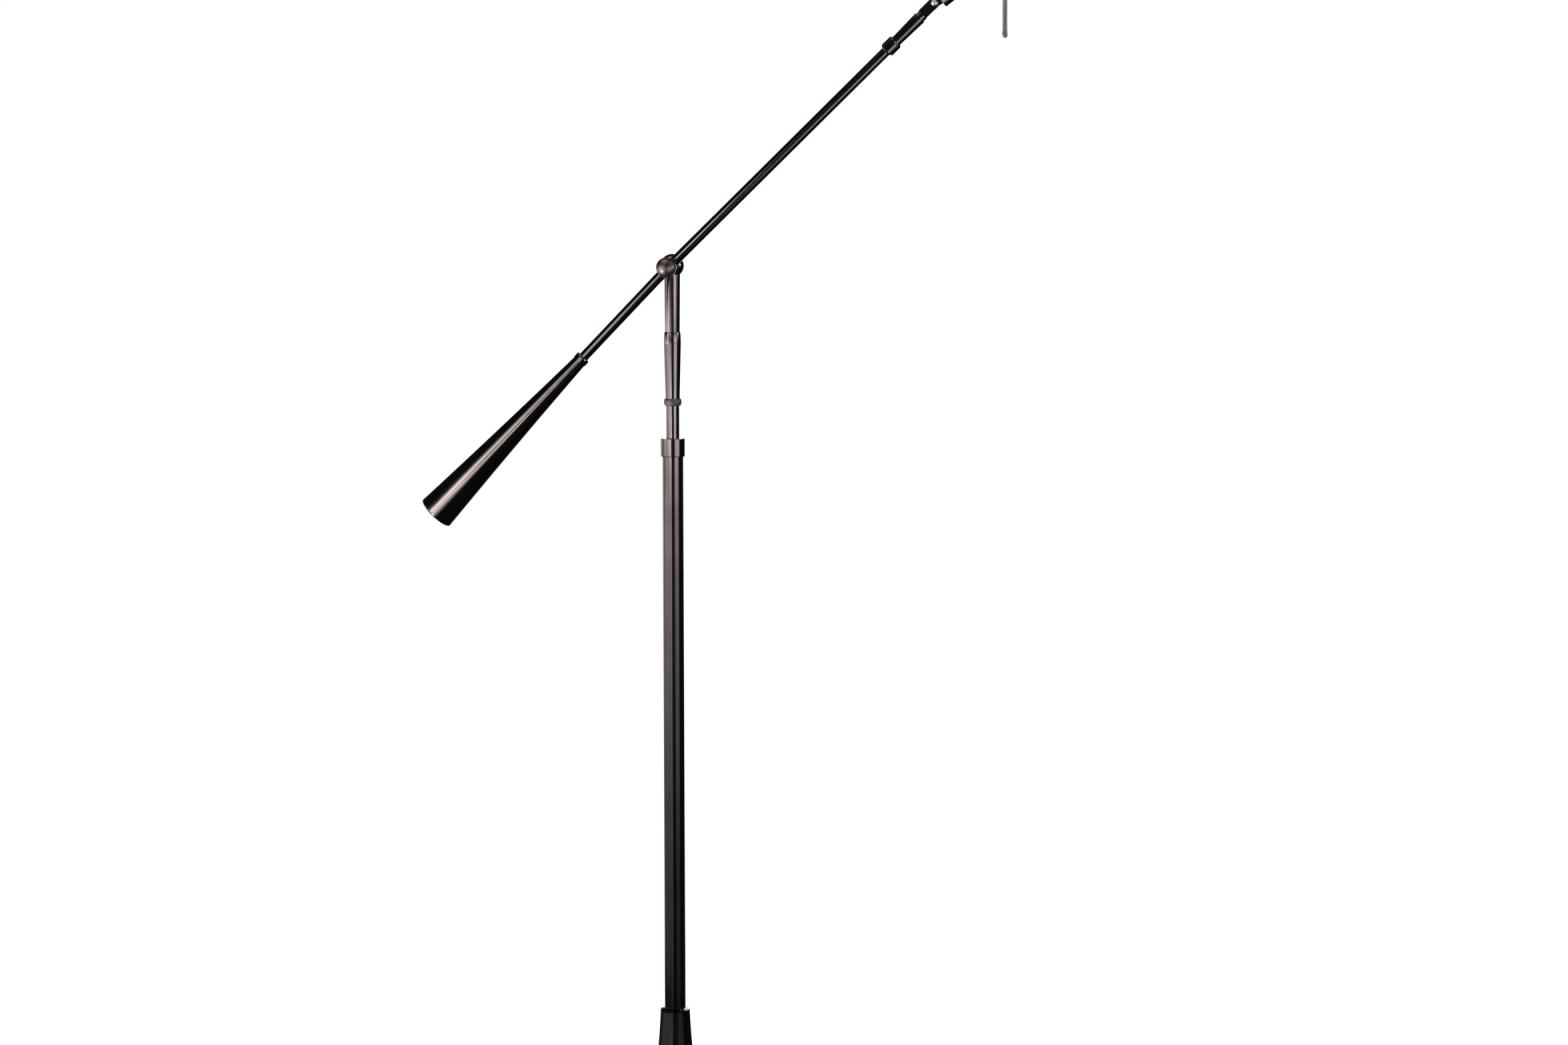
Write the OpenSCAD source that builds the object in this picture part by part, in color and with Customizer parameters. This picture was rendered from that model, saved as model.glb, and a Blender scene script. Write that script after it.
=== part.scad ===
// Counterbalanced floor lamp: weighted base, sliding stem, tilting boom with a cone counterweight,
// and a shade carried on a tilting head with a pull-chain lampholder.
// Millimetres. The origin is the centre of the base's underside, +Z is up, the boom points to +X
// and the ball knob that tightens it faces -Y.

/* [Base] */
// Diameter of the round base
base_d = 280; // [240:1:320]
// Height of the base cover at its middle
base_h = 24; // [21:0.5:32]
// Fall of the base cover from its middle to its edge
base_fall = 4; // [2:0.5:6]
// Radius of the base cover's rolled edge
base_edge_r = 7; // [5:0.5:9]
// Sheet thickness of the base cover
cover_wall = 1.5; // [1:0.1:2.5]
// Height of the cover's skirt above the floor
skirt_gap = 1.5; // [1:0.1:2.5]
// Thickness of the floor pad
pad_h = 3; // [2.6:0.1:4]
// Width of the bare ring between the pad and the skirt
pad_margin = 6; // [4:0.5:12]
// Thickness of the base weight above the clamp washer
weight_web = 8; // [6:0.5:9]
// Diameter of the recess for the clamp nut under the base weight
nut_recess_d = 46; // [40:1:60]
// Width across the flats of the clamp nut
clamp_nut_af = 19; // [17:0.5:22]
// Thickness of the clamp nut
clamp_nut_h = 5; // [4:0.5:6]
// Diameter of the clamp washer
clamp_washer_d = 34; // [28:1:38]
// Thickness of the clamp washer
clamp_washer_h = 2; // [1.5:0.1:2.5]
// Diameter of the hollow tie rod that clamps base, foot and column together
tie_d = 10; // [9:0.1:11]
// Bore of the tie rod
tie_bore = 6.5; // [5:0.1:7]
// Bore of the lead bushing in the base's skirt
bushing_bore = 6.5; // [5:0.1:7]
// Outer diameter of the lead bushing's body
bushing_d = 8.4; // [8:0.1:9]
// Flange diameter of the lead bushing
bushing_flange_d = 10.8; // [10:0.1:11.4]
// Flange thickness of the lead bushing
bushing_flange_h = 1.2; // [1:0.1:1.6]
// Height of the lead bushing's flange above the lower edge of the skirt
bushing_rise = 0.6; // [0.4:0.1:1]
// Width of the flat land round the foot cone
cover_land = 4; // [2:0.5:8]
// Length of the tie rod below the clamp nut
tie_tail = 1; // [0.5:0.1:1]

/* [Foot] */
// Diameter of the foot cone at its top
foot_top_d = 36; // [33:0.1:42]
// Diameter of the foot cone at the base
foot_bottom_d = 80; // [60:0.1:100]
// Share of the foot cone's widening that comes late, as a trumpet does
foot_flare = 0.62; // [0:0.01:0.7]
// Height of the foot cone
foot_h = 171.5; // [140:0.5:220]
// Wall of the foot cone
foot_wall = 4; // [3:0.1:5]
// Thickness of the web that the column stands on
foot_web = 8; // [6:0.5:12]
// Depth to which the column stands in the foot cone
column_seat = 25; // [20:1:40]
// Diameter of the ring on top of the foot cone
foot_ring_d = 36.2; // [35:0.1:44]
// Height of the ring on top of the foot cone
foot_ring_h = 4.6; // [4:0.1:8]
// Diameter of the ring's bevel at the column
foot_ring_top_d = 27; // [26.8:0.1:32]
// Height of the upright rim under the ring's bevel
foot_ring_rim = 2.8; // [0.8:0.1:3.4]

/* [Column] */
// Outer diameter of the column tube
column_d = 25.4; // [24:0.1:28]
// Wall of the column tube
column_wall = 1.5; // [1.2:0.1:2]
// Length of the column tube
column_l = 730; // [600:0.5:800]
// Length of the plug at the foot of the column
column_plug_h = 25; // [15:1:35]
// Length of the bush in the mouth of the column
bush_l = 40; // [25:1:60]
// Thickness of the bush's flange
bush_flange_h = 1.5; // [1:0.1:2.5]

/* [Lock collar] */
// Diameter of the lock collar
collar_d = 29.6; // [28.6:0.1:33]
// Height of the lock collar
collar_h = 22.4; // [16:0.1:30]
// Thickness of the lip at the top of the lock collar
collar_lip = 2.6; // [2:0.1:4]
// Rounding at the lower edge of the lock collar
collar_edge = 1; // [0.5:0.1:1.6]

/* [Sliding stem] */
// Outer diameter of the slide tube
slide_d = 15.9; // [15:0.1:17]
// Wall of the slide tube
slide_wall = 1.2; // [1:0.1:1.5]
// Length of the slide tube
slide_l = 392; // [360:1:430]
// Height of the slide tube above the lock collar as photographed
slide_out = 48.8; // [46:0.1:120]
// Length of the guide bush at the bottom of the slide tube
guide_bush_l = 40; // [20:1:50]
// Diameter of the bead ring
bead_d = 21.4; // [19.4:0.1:24]
// Height of the bead ring
bead_h = 8.8; // [5:0.1:9]
// Width of the bead ring's flat ends
bead_land = 1; // [0.6:0.1:1.5]
// Diameter of the cone cup at its shoulder
cup_top_d = 20.9; // [20.4:0.1:24]
// Diameter of the cone cup at its mouth
cup_mouth_d = 19; // [18.4:0.1:20.2]
// Height of the cone cup's rounded shoulder
cup_shoulder_h = 14; // [8:0.5:20]
// Diameter of the cone cup at its foot
cup_bottom_d = 17.3; // [16:0.1:18]
// Height of the cone cup
cup_h = 81.2; // [70:0.1:100]
// Length of the spigot under the cone cup
cup_spigot_h = 16; // [10:1:24]
// Wire way through the lower half of the cone cup
cup_bore = 11.5; // [11:0.1:11.8]
// Thickness of the web that the neck's bolt pulls on
cup_web = 6; // [4:0.5:8]
// Room under the neck's spigot in the cone cup
spigot_room = 2; // [1:0.5:4]

/* [Neck] */
// Diameter of the neck at the cone cup
neck_bottom_d = 18; // [17.4:0.1:18.4]
// Diameter of the neck under the ball
neck_top_d = 19.3; // [18:0.1:20]
// Height of the neck
neck_h = 69.6; // [50:0.1:90]
// Diameter of the neck's turning spigot
neck_spigot_d = 14; // [12.5:0.1:15]
// Length of the neck's turning spigot
neck_spigot_h = 24; // [18:1:30]
// Thread diameter of the neck's bolt
neck_bolt_d = 6; // [5:0.1:6.5]
// Head diameter of the neck's bolt
neck_bolt_head_d = 10.6; // [10:0.1:10.8]
// Head height of the neck's bolt
neck_bolt_head_h = 4; // [3:0.5:6]
// Length of the neck's bolt in the neck
neck_bolt_grip = 12; // [8:1:16]
// Thickness of the nylon washer under the neck
neck_washer_h = 0.6; // [0.5:0.1:2]
// Diameter of the nylon washer under the neck
neck_washer_d = 18; // [16.4:0.1:18]
// Diameter of the ball on the neck
ball_d = 29; // [28:0.1:32]
// Distance from the ball's centre to the flat that it stands on
ball_seat = 10.4; // [10.2:0.1:10.8]
// Distance from the ball's centre to the flat that faces the boom
ball_face = 12; // [11:0.1:12.5]
// Diameter of the ball's dowel on the neck
ball_dowel_d = 10; // [8:0.1:11]
// Length of the ball's dowel on the neck
ball_dowel_h = 5.8; // [4:0.1:5.8]

/* [Boom pivot] */
// Diameter of the pivot stud
stud_d = 8; // [7:0.1:8.2]
// Depth of the pivot stud in the ball, behind the ball's centre
stud_depth = 6; // [4:0.5:10]
// Thickness of the friction washers
friction_h = 1; // [0.8:0.1:1.5]
// Diameter of the friction washers
friction_d = 15.6; // [13:0.1:16]
// Diameter of the boom's hub
hub_d = 20; // [19.5:0.1:22]
// Width of the boom's hub along the pivot
hub_w = 13; // [12.6:0.1:16]
// Distance from the pivot to the flats that the rods stand on
hub_flat = 9; // [8.8:0.1:9.4]
// Diameter of the ball knob
knob_d = 24.6; // [22:0.1:28]
// Distance from the ball knob's centre to its flat
knob_face = 9.8; // [9:0.1:10.4]
// Thread length of the pivot stud in the ball knob
knob_thread = 9; // [6:0.5:12]

/* [Boom] */
// Angle of the boom above the horizontal as photographed
boom_angle = 45.3; // [30:0.1:60]
// Sag of each rod in its socket
rod_sag = 0.9; // [0:0.05:1.5]
// Diameter of the boom's rods
rod_d = 12; // [11:0.1:12.4]
// Bore of the front rod
rod_bore = 9; // [8:0.1:9.5]
// Diameter of the rods' spigots
rod_spigot_d = 8; // [6:0.1:9]
// Length of the rods' spigots
rod_spigot_h = 3.8; // [2.5:0.1:4]
// Distance from the pivot to the middle of the front collar
front_collar_at = 382.5; // [300:0.5:420]
// Diameter of the front collar
front_collar_d = 18.4; // [16.5:0.1:22]
// Length of the front collar
front_collar_l = 18; // [14:0.5:26]
// Chamfer of the front collar
front_collar_chamfer = 2.4; // [1:0.1:2.6]
// Diameter of the ferrule at the front collar
ferrule_thin_d = 13; // [12.6:0.1:14]
// Diameter of the ferrule at the head joint
ferrule_fat_d = 15.2; // [14.2:0.1:18]
// Length of the ferrule
ferrule_l = 39.5; // [28:0.5:50]

/* [Counterweight] */
// Distance from the pivot to the weight ring
ring_at = 153.5; // [120:0.5:200]
// Diameter of the weight ring
ring_d = 18; // [17:0.1:22]
// Length of the weight ring
ring_l = 7.5; // [5:0.1:12]
// Chamfer of the weight ring towards the pivot
ring_chamfer = 1.6; // [0.8:0.1:2.4]
// Diameter of the counterweight at its thin end
weight_thin_d = 16.5; // [15:0.1:17]
// Diameter of the counterweight at its fat end
weight_fat_d = 46.2; // [38:0.1:50]
// Length of the counterweight
weight_l = 263; // [220:0.5:300]
// Share of the counterweight's widening that comes late, as a trumpet does
weight_flare = 0.19; // [0:0.01:0.6]
// Rounding of the counterweight's fat end
weight_edge = 2.5; // [1:0.1:4]
// Angle at which the rounding of the fat end begins
weight_edge_turn = 15; // [5:1:30]
// Length of the solid end of the counterweight behind the rod
weight_end = 30; // [20:1:50]
// Thread diameter of the counterweight's end screw
end_screw_d = 6; // [5:0.1:6.4]
// Head diameter of the counterweight's end screw
end_screw_head_d = 12; // [10:0.1:14]
// Head height of the counterweight's end screw
end_screw_head_h = 4; // [3:0.1:5]
// Length of the counterweight's end screw in the rod
end_screw_grip = 14; // [8:1:20]
// Width of the slot in the counterweight's end screw
end_screw_slot = 1.6; // [1:0.1:2]

/* [Head joint] */
// Length of the clevis's round root
clevis_root_l = 6.5; // [4:0.5:10]
// Diameter of the clevis's shank in the ferrule
clevis_shank_d = 9; // [8:0.1:10]
// Length of the clevis's shank in the ferrule
clevis_shank_l = 12; // [8:0.5:16]
// Distance from the clevis's root to the head joint's screw
clevis_reach = 20; // [16:0.5:24]
// Half width of the clevis's ears
ear_r = 6.6; // [6:0.1:7.4]
// Thickness of each ear
ear_w = 3.5; // [3:0.1:5]
// Width of the slot between the ears
slot_w = 6; // [5:0.1:7]
// Diameter of the head joint's screw
knuckle_d = 5; // [4:0.1:6]
// Diameter of the domed head of the head joint's screw
knuckle_head_d = 9; // [8:0.1:10]
// Height of the domed head of the head joint's screw
knuckle_head_h = 3; // [2:0.1:4]
// Width across the flats of the head joint's nut
knuckle_nut_af = 8; // [7:0.1:9.5]
// Thickness of the head joint's nut
knuckle_nut_h = 4; // [3:0.1:6]
// Length of the head joint's screw behind its nut
knuckle_tail = 0.8; // [0.4:0.1:1.5]
// Half width of the tongue's eye
tongue_r = 6.2; // [5.6:0.1:6.5]
// Room between the tongue's eye and the bottom of the clevis's slot
slot_room = 1.6; // [1:0.1:2.4]
// Distance from the head joint's screw to the end of the tongue
tongue_l = 9; // [8.5:0.5:16]
// Diameter of the tongue's shank in the stem ferrule
tongue_shank_d = 9.4; // [8:0.1:9.8]
// Length of the tongue's shank in the stem ferrule
tongue_shank_l = 13; // [8:0.5:13.5]
// Diameter of the stem ferrule at the tongue
stem_ferrule_fat_d = 23; // [18:0.1:25]
// Diameter of the stem ferrule at the head stem
stem_ferrule_thin_d = 17.6; // [17:0.1:20]
// Length of the stem ferrule
stem_ferrule_l = 26; // [25:0.5:34]
// Depth of the head stem in the stem ferrule
stem_socket = 11; // [6:0.5:11]

/* [Head stem] */
// Angle at which the head stem leaves the head joint
stem_angle = 32; // [25:0.5:50]
// Distance from the head joint to the shade's axis
head_reach = 114.4; // [95:0.1:140]
// Outer diameter of the head stem
stem_d = 14.5; // [13.5:0.1:16]
// Bore of the head stem
stem_bore = 10; // [9:0.1:11]
// Radius of the head stem's bend
stem_bend_r = 45; // [40:1:60]
// Thinning of the head stem in its bend
stem_bend_thin = 0.1; // [0.06:0.01:0.3]
// Straight length above the head stem's bend
stem_top_l = 28; // [12:0.5:40]
// Length of the threaded nipple in the head stem
nipple_grip = 11.5; // [8:0.5:11.5]
// Bore of the threaded nipple
nipple_bore = 6.5; // [5:0.1:7]

/* [Lampholder] */
// Width across the flats of the nut under the lampholder
holder_nut_af = 17; // [15:0.5:20]
// Thickness of the nut under the lampholder
holder_nut_h = 3.5; // [2.5:0.1:5]
// Diameter of the lampholder's shell
holder_d = 38; // [36:0.1:42]
// Sheet thickness of the lampholder's shell and cap
holder_wall = 1; // [0.8:0.1:1.4]
// Height of the lampholder's shell
holder_h = 42; // [36:0.5:50]
// Height of the lampholder's cap
cap_h = 16; // [12:0.5:22]
// Diameter of the lampholder's cap at its hub
cap_hub_d = 16; // [15:0.1:20]
// Overlap of the shell on the cap's rim
cap_lap = 4; // [3:0.5:6]
// Height of the insulating core
core_h = 20; // [16:0.5:24]
// Diameter of the screw shell
screw_shell_d = 29; // [28:0.1:31]
// Wall of the screw shell
screw_shell_wall = 0.8; // [0.6:0.1:1]
// Height of the chain guide's arm above the shell's lower edge
chain_guide_up = 15; // [10:0.5:20]
// Distance from the shade's axis to the pull chain
chain_out = 32; // [28:0.1:36]
// Angle between the chain guide and the boom, towards the knob's side
chain_turn = 30; // [25:1:60]
// Outer diameter of the chain guide
chain_guide_d = 7.4; // [6.4:0.1:9]
// Bore of the chain guide
chain_guide_bore = 4.4; // [4:0.1:5]
// Length of the chain guide's mouth
chain_guide_l = 14; // [12:0.5:18]
// Flare of the chain guide's mouth
chain_guide_flare = 1.6; // [1:0.1:2.4]

/* [Bulb] */
// Diameter of the bulb's metal cap
bulb_cap_d = 26.4; // [25:0.1:27]
// Height of the bulb's metal cap
bulb_cap_h = 24; // [20:0.5:28]
// Height of the contact cone under the bulb's metal cap
bulb_tip_h = 3; // [2:0.1:5]
// Gap between the bulb's contact and the core
bulb_gap = 1; // [0.5:0.1:2]
// Height of the bulb's plastic collar
bulb_collar_h = 26; // [18:0.5:32]
// Swelling of the bulb's plastic collar towards the dome
bulb_swell = 0.6; // [0:0.05:1]
// Diameter of the bulb's dome
bulb_d = 60; // [50:0.5:66]

/* [Harp] */
// Sheet thickness of the harp saddle
saddle_h = 2; // [1.5:0.1:3]
// Width of the harp saddle
saddle_w = 16; // [15:0.5:20]
// Half distance between the harp's feet
harp_foot = 29; // [26:0.5:34]
// Wire diameter of the harp
harp_wire = 4; // [3:0.1:5]
// Swelling of the harp's wire at its bends
harp_bend_swell = 0.6; // [0.3:0.1:1]
// Half width of the harp around the bulb
harp_r = 54; // [44:0.5:62]
// Height of the harp from its saddle to its seat
harp_h = 172; // [165:1:220]
// Height at which the harp's feet spread
harp_spread_at = 24; // [22:0.5:30]
// Height over which the harp's feet spread
harp_spread_h = 38; // [30:0.5:50]
// Thickness of the harp's seat
harp_seat_h = 3; // [2:0.1:4]
// Diameter of the harp's seat
harp_seat_d = 16; // [13:0.1:20]
// Diameter of the harp's sleeves
sleeve_d = 7.6; // [7:0.1:9]
// Height of the harp's sleeves
sleeve_h = 16; // [10:0.5:20]

/* [Shade] */
// Outer diameter of the shade at its lower rim
shade_bottom_d = 356; // [300:1:380]
// Outer diameter of the shade at its upper rim
shade_top_d = 254; // [200:1:300]
// Height of the shade
shade_h = 300; // [250:1:305]
// Thickness of the shade's wall
shade_wall = 1.6; // [1.2:0.1:2.4]
// Wire diameter of the shade's rings and spokes
shade_wire = 3.4; // [2.6:0.1:4.5]
// Height of the shade's upper ring above the harp's seat
spider_rise = 12; // [8:0.5:24]
// Diameter of the washer in the middle of the spokes
spider_hub_d = 16; // [14:0.1:22]
// Thickness of the washer in the middle of the spokes
spider_hub_h = 2; // [1.4:0.1:3]
// Number of spokes
spoke_count = 3; // [3:1:4]
// Distance from the harp's stud to the root of the spokes
spoke_root = 3; // [2:0.1:4]
// Diameter of the finial's ball
finial_d = 14; // [12:0.1:20]
// Height of the finial's foot
finial_foot_h = 4; // [3:0.1:6]
// Width of the finial's waist as a share of its ball
finial_waist = 0.6; // [0.5:0.01:0.8]
// Height of the ball's centre above the foot as a share of the ball
finial_lift = 0.4; // [0.3:0.01:0.4]
// Thread diameter of the harp's stud
harp_stud_d = 6; // [5:0.1:6.4]
// Length of the harp's stud
harp_stud_l = 16; // [12:0.5:20]

/* [Pull] */
// Bead diameter of the pull chain
chain_bead_d = 3.2; // [2.6:0.1:3.6]
// Spacing of the pull chain's beads
chain_pitch = 4.2; // [3.6:0.1:5]
// Number of beads below the chain guide
chain_beads = 35; // [10:1:40]
// Wire diameter between the pull chain's beads
chain_wire = 1.3; // [1:0.1:1.6]
// Diameter of the pull bar
bar_d = 5.6; // [4.4:0.1:8]
// Length of the pull bar
bar_l = 48; // [30:0.5:70]
// Diameter of the pull bar's round end
bar_end_d = 6.6; // [5:0.1:9]
// Depth of the chain's hole in the pull bar
bar_hole = 2; // [1:0.1:4]

/* [Hidden] */
$fn = 72;
// Clearances: press fits, running fits, faces that turn on each other, and loose seats
fit_gap = 0.02;
running_gap = 0.05;
face_gap = 0.05;
seat_gap = 0.3;
// Smallest overlap of two shapes that are one solid
join = 0.5;
// Run of a cut past the face that it opens, and room at the bottom of a blind hole
over = 1;
bottom_gap = 0.2;
// Steps of a curved outline
curve_steps = 12;
weight_steps = 14;
foot_steps = 16;

bronze = [0.15, 0.11, 0.09];
steel = [0.62, 0.62, 0.64];
iron = [0.30, 0.30, 0.31];
brass = [0.72, 0.58, 0.30];
nylon = [0.12, 0.11, 0.10];
black_rubber = [0.09, 0.09, 0.09];
linen = [0.93, 0.91, 0.86];
phenolic = [0.18, 0.13, 0.10];
diffuser = [0.96, 0.96, 0.93];

// Heights of the base, foot and column
foot_z = base_h;
foot_ring_z = foot_z + foot_h;
column_z = foot_ring_z - column_seat;
column_top = column_z + column_l;
column_bore = column_d - 2 * column_wall;
clamp_z = base_h - cover_wall - seat_gap - weight_web;
tie_bottom = clamp_z - clamp_washer_h - clamp_nut_h - tie_tail;
tie_top = column_z + column_plug_h;
bushing_z = skirt_gap + bushing_flange_d / 2 + bushing_rise;
bushing_grip = 3 * cover_wall;

// Heights of the collar and the sliding stem
collar_seat_z = column_top + bush_flange_h + face_gap;
collar_top = collar_seat_z + collar_lip;
slide_top = collar_top + slide_out;
slide_bottom = slide_top - slide_l;
bead_land_r = slide_d / 2 + bead_land;
cup_z = slide_top;
cup_top = cup_z + cup_h;
cup_bore_depth = neck_spigot_h + spigot_room;
cup_web_top = cup_top - cup_bore_depth;
cup_web_bottom = cup_web_top - cup_web;
neck_z = cup_top + neck_washer_h + 2 * face_gap;
neck_top = neck_z + neck_h;
pivot_z = neck_top + ball_seat;

// Places along the boom's pivot, which runs along Y
rear_friction_y = -ball_face;
hub_back_y = rear_friction_y - friction_h - face_gap;
boom_y = hub_back_y - hub_w / 2;
hub_front_y = hub_back_y - hub_w;
front_friction_y = hub_front_y - face_gap;
knob_back_y = front_friction_y - friction_h - face_gap;
knob_y = knob_back_y - knob_face;
stud_end_y = knob_back_y - knob_thread;

// Angles and distances along the boom
front_angle = boom_angle - rod_sag;
rear_angle = boom_angle + rod_sag;
front_collar_start = front_collar_at - front_collar_l / 2;
front_collar_end = front_collar_at + front_collar_l / 2;
ferrule_end = front_collar_end + ferrule_l;
knuckle_at = ferrule_end + clevis_root_l + clevis_reach;
weight_at = ring_at + ring_l;
weight_tip = weight_at + weight_l;
rear_rod_end = weight_tip - weight_end;

// The head joint and the stem's bend
knuckle_x = knuckle_at * cos(front_angle);
knuckle_z = pivot_z + knuckle_at * sin(front_angle);
head_w = slot_w - 2 * face_gap;
stem_start = tongue_l + stem_ferrule_l - stem_socket;
bend_start = (head_reach - stem_bend_r * (1 - sin(stem_angle))) / cos(stem_angle);
bend_x = bend_start * cos(stem_angle) - stem_bend_r * sin(stem_angle);
bend_z = bend_start * sin(stem_angle) + stem_bend_r * cos(stem_angle);
shade_x = knuckle_x + head_reach;
stem_top = knuckle_z + bend_z + stem_top_l;

// Heights on the shade's axis
holder_nut_z = stem_top + saddle_h;
cap_z = holder_nut_z + holder_nut_h;
shell_z = cap_z + cap_h - cap_lap;
core_z = cap_z + cap_h;
screw_shell_z = core_z + core_h;
shell_top = shell_z + holder_h;
bulb_z = screw_shell_z + bulb_gap;
bulb_collar_z = bulb_z + bulb_cap_h;
bulb_dome_z = bulb_collar_z + bulb_collar_h;
nipple_top = cap_z + cap_h / 2;
saddle_top = stem_top + saddle_h;
harp_seat_z = saddle_top + harp_h;
harp_arc_z = harp_seat_z - harp_seat_h - harp_r;
shade_top = harp_seat_z + spider_rise;
shade_z = shade_top - shade_h;
chain_guide_z = shell_z + chain_guide_up;
chain_top = chain_guide_z - chain_guide_d / 2;
bar_top = chain_top - chain_beads * chain_pitch;
guide_root = holder_d / 4;

// Points of an arc in a revolved outline
function arc(centre, r, from, to) = [for (i = [0:curve_steps])
    let (a = from + (to - from) * i / curve_steps)
    [centre[0] + r * cos(a), centre[1] + r * sin(a)]];

function reversed(points) = [for (i = [len(points) - 1:-1:0]) points[i]];

// Outline of the base cover's upper face, set in by a depth and ended at a height
function cover_line(depth, low) = concat(
    [[tie_d / 2 + seat_gap, base_h - depth], [foot_bottom_d / 2 + cover_land, base_h - depth]],
    arc([base_d / 2 - base_edge_r, base_h - base_fall - base_edge_r], base_edge_r - depth, 90, 0),
    [[base_d / 2 - depth, low]]);

// Share of a trumpet's widening at a share of its length
function flared(t, flare) = (1 - flare) * t + flare * t * t;

// Radius of the foot cone at a height above the base
function foot_r(z) = (foot_top_d + (foot_bottom_d - foot_top_d) * flared(1 - z / foot_h, foot_flare)) / 2;

// Radius of the counterweight at a share of its length
function weight_r(t) = (weight_thin_d + (weight_fat_d - weight_thin_d) * flared(t, weight_flare)) / 2;

module tube(outer, inner, h) {
    difference() {
        cylinder(d = outer, h = h);
        translate([0, 0, -over]) cylinder(d = inner, h = h + 2 * over);
    }
}

// A tube with both outer edges cut back
module chamfered_tube(outer, inner, h, cut) {
    rotate_extrude() polygon([[inner / 2, 0], [outer / 2 - cut, 0], [outer / 2, cut],
        [outer / 2, h - cut], [outer / 2 - cut, h], [inner / 2, h]]);
}

module hex_nut(across, bore, h) {
    difference() {
        cylinder(d = across / cos(30), h = h, $fn = 6);
        translate([0, 0, -over]) cylinder(d = bore, h = h + 2 * over);
    }
}

// A cylinder along Y, from one Y to a lower one
module y_rod(d, from, to) {
    translate([0, from, 0]) rotate([90, 0, 0]) cylinder(d = d, h = from - to);
}

module y_ring(outer, inner, from, to) {
    difference() {
        y_rod(outer, from, to);
        y_rod(inner, from + over, to - over);
    }
}

// Frames: +Z runs outward along the rod, or up on the shade's axis
module on_pivot() {
    translate([0, 0, pivot_z]) children();
}
module on_front_rod() {
    translate([0, boom_y, pivot_z]) rotate([0, 90 - front_angle, 0]) children();
}
module on_rear_rod() {
    translate([0, boom_y, pivot_z]) rotate([0, 270 - rear_angle, 0]) children();
}
module on_knuckle() {
    translate([knuckle_x, 0, knuckle_z]) children();
}
module on_stem() {
    translate([knuckle_x, boom_y, knuckle_z]) rotate([0, 90 - stem_angle, 0]) children();
}
module on_shade(z) {
    translate([shade_x, boom_y, z]) children();
}
module on_chain_side(z) {
    on_shade(z) rotate([0, 0, chain_turn]) children();
}

// Base
module floor_pad() {
    color(black_rubber) cylinder(d = base_d - 2 * (cover_wall + pad_margin), h = pad_h);
}

module base_weight() {
    line = cover_line(cover_wall + seat_gap, pad_h);
    channel_w = bushing_d + 2 * seat_gap;
    channel_h = bushing_z + bushing_d / 2 - pad_h + over;
    color(iron) difference() {
        rotate_extrude() polygon(concat(line, [[line[0][0], pad_h]]));
        translate([0, 0, pad_h - over]) cylinder(d = nut_recess_d, h = clamp_z - pad_h + over);
        translate([-channel_w / 2, 0, pad_h - over]) cube([channel_w, base_d, channel_h]);
    }
}

module base_cover() {
    color(bronze) difference() {
        rotate_extrude()
            polygon(concat(cover_line(0, skirt_gap), reversed(cover_line(cover_wall, skirt_gap))));
        translate([0, base_d / 2 - base_edge_r, bushing_z]) rotate([-90, 0, 0])
            cylinder(d = bushing_d + 2 * fit_gap, h = 2 * base_edge_r);
    }
}

module lead_bushing() {
    rim_d = bushing_flange_d - bushing_flange_h;
    color(black_rubber) translate([0, base_d / 2 - bushing_grip, bushing_z]) rotate([-90, 0, 0])
        difference() {
            union() {
                cylinder(d = bushing_d, h = bushing_grip + join);
                translate([0, 0, bushing_grip + 2 * face_gap])
                    cylinder(d1 = bushing_flange_d, d2 = rim_d, h = bushing_flange_h);
            }
            translate([0, 0, -over]) cylinder(d = bushing_bore, h = base_d);
        }
}

module clamp_washer() {
    color(steel) translate([0, 0, clamp_z - clamp_washer_h])
        tube(clamp_washer_d, tie_d + 2 * seat_gap, clamp_washer_h);
}

module clamp_nut() {
    color(steel) translate([0, 0, clamp_z - clamp_washer_h - clamp_nut_h])
        hex_nut(clamp_nut_af, tie_d + 2 * fit_gap, clamp_nut_h);
}

module tie_rod() {
    color(steel) translate([0, 0, tie_bottom]) tube(tie_d, tie_bore, tie_top - tie_bottom);
}

// Foot and column
module foot_cone() {
    seat = foot_h - column_seat;
    bore_r = column_d / 2 + fit_gap;
    tie_r = tie_d / 2 + seat_gap;
    under = seat - foot_web;
    color(bronze) translate([0, 0, foot_z]) rotate_extrude() polygon(concat(
        [for (i = [0:foot_steps]) let (z = foot_h * i / foot_steps) [foot_r(z), z]],
        [[bore_r, foot_h], [bore_r, seat], [tie_r, seat], [tie_r, under]],
        [for (i = [foot_steps:-1:0]) let (z = under * i / foot_steps) [foot_r(z) - foot_wall, z]]));
}

module foot_ring() {
    bore_r = column_d / 2 + fit_gap;
    color(bronze) translate([0, 0, foot_ring_z]) rotate_extrude() polygon([
        [bore_r, 0], [foot_ring_d / 2, 0], [foot_ring_d / 2, foot_ring_rim],
        [foot_ring_top_d / 2, foot_ring_h], [bore_r, foot_ring_h]]);
}

module column_tube() {
    color(bronze) translate([0, 0, column_z]) tube(column_d, column_bore, column_l);
}

module column_plug() {
    color(steel) translate([0, 0, column_z])
        tube(column_bore - 2 * fit_gap, tie_d + 2 * fit_gap, column_plug_h);
}

module column_bush() {
    bore = slide_d + 2 * running_gap;
    color(nylon) union() {
        translate([0, 0, column_top]) tube(column_d, bore, bush_flange_h);
        translate([0, 0, column_top - bush_l])
            tube(column_bore - 2 * fit_gap, bore, bush_l + bush_flange_h / 2);
    }
}

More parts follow.
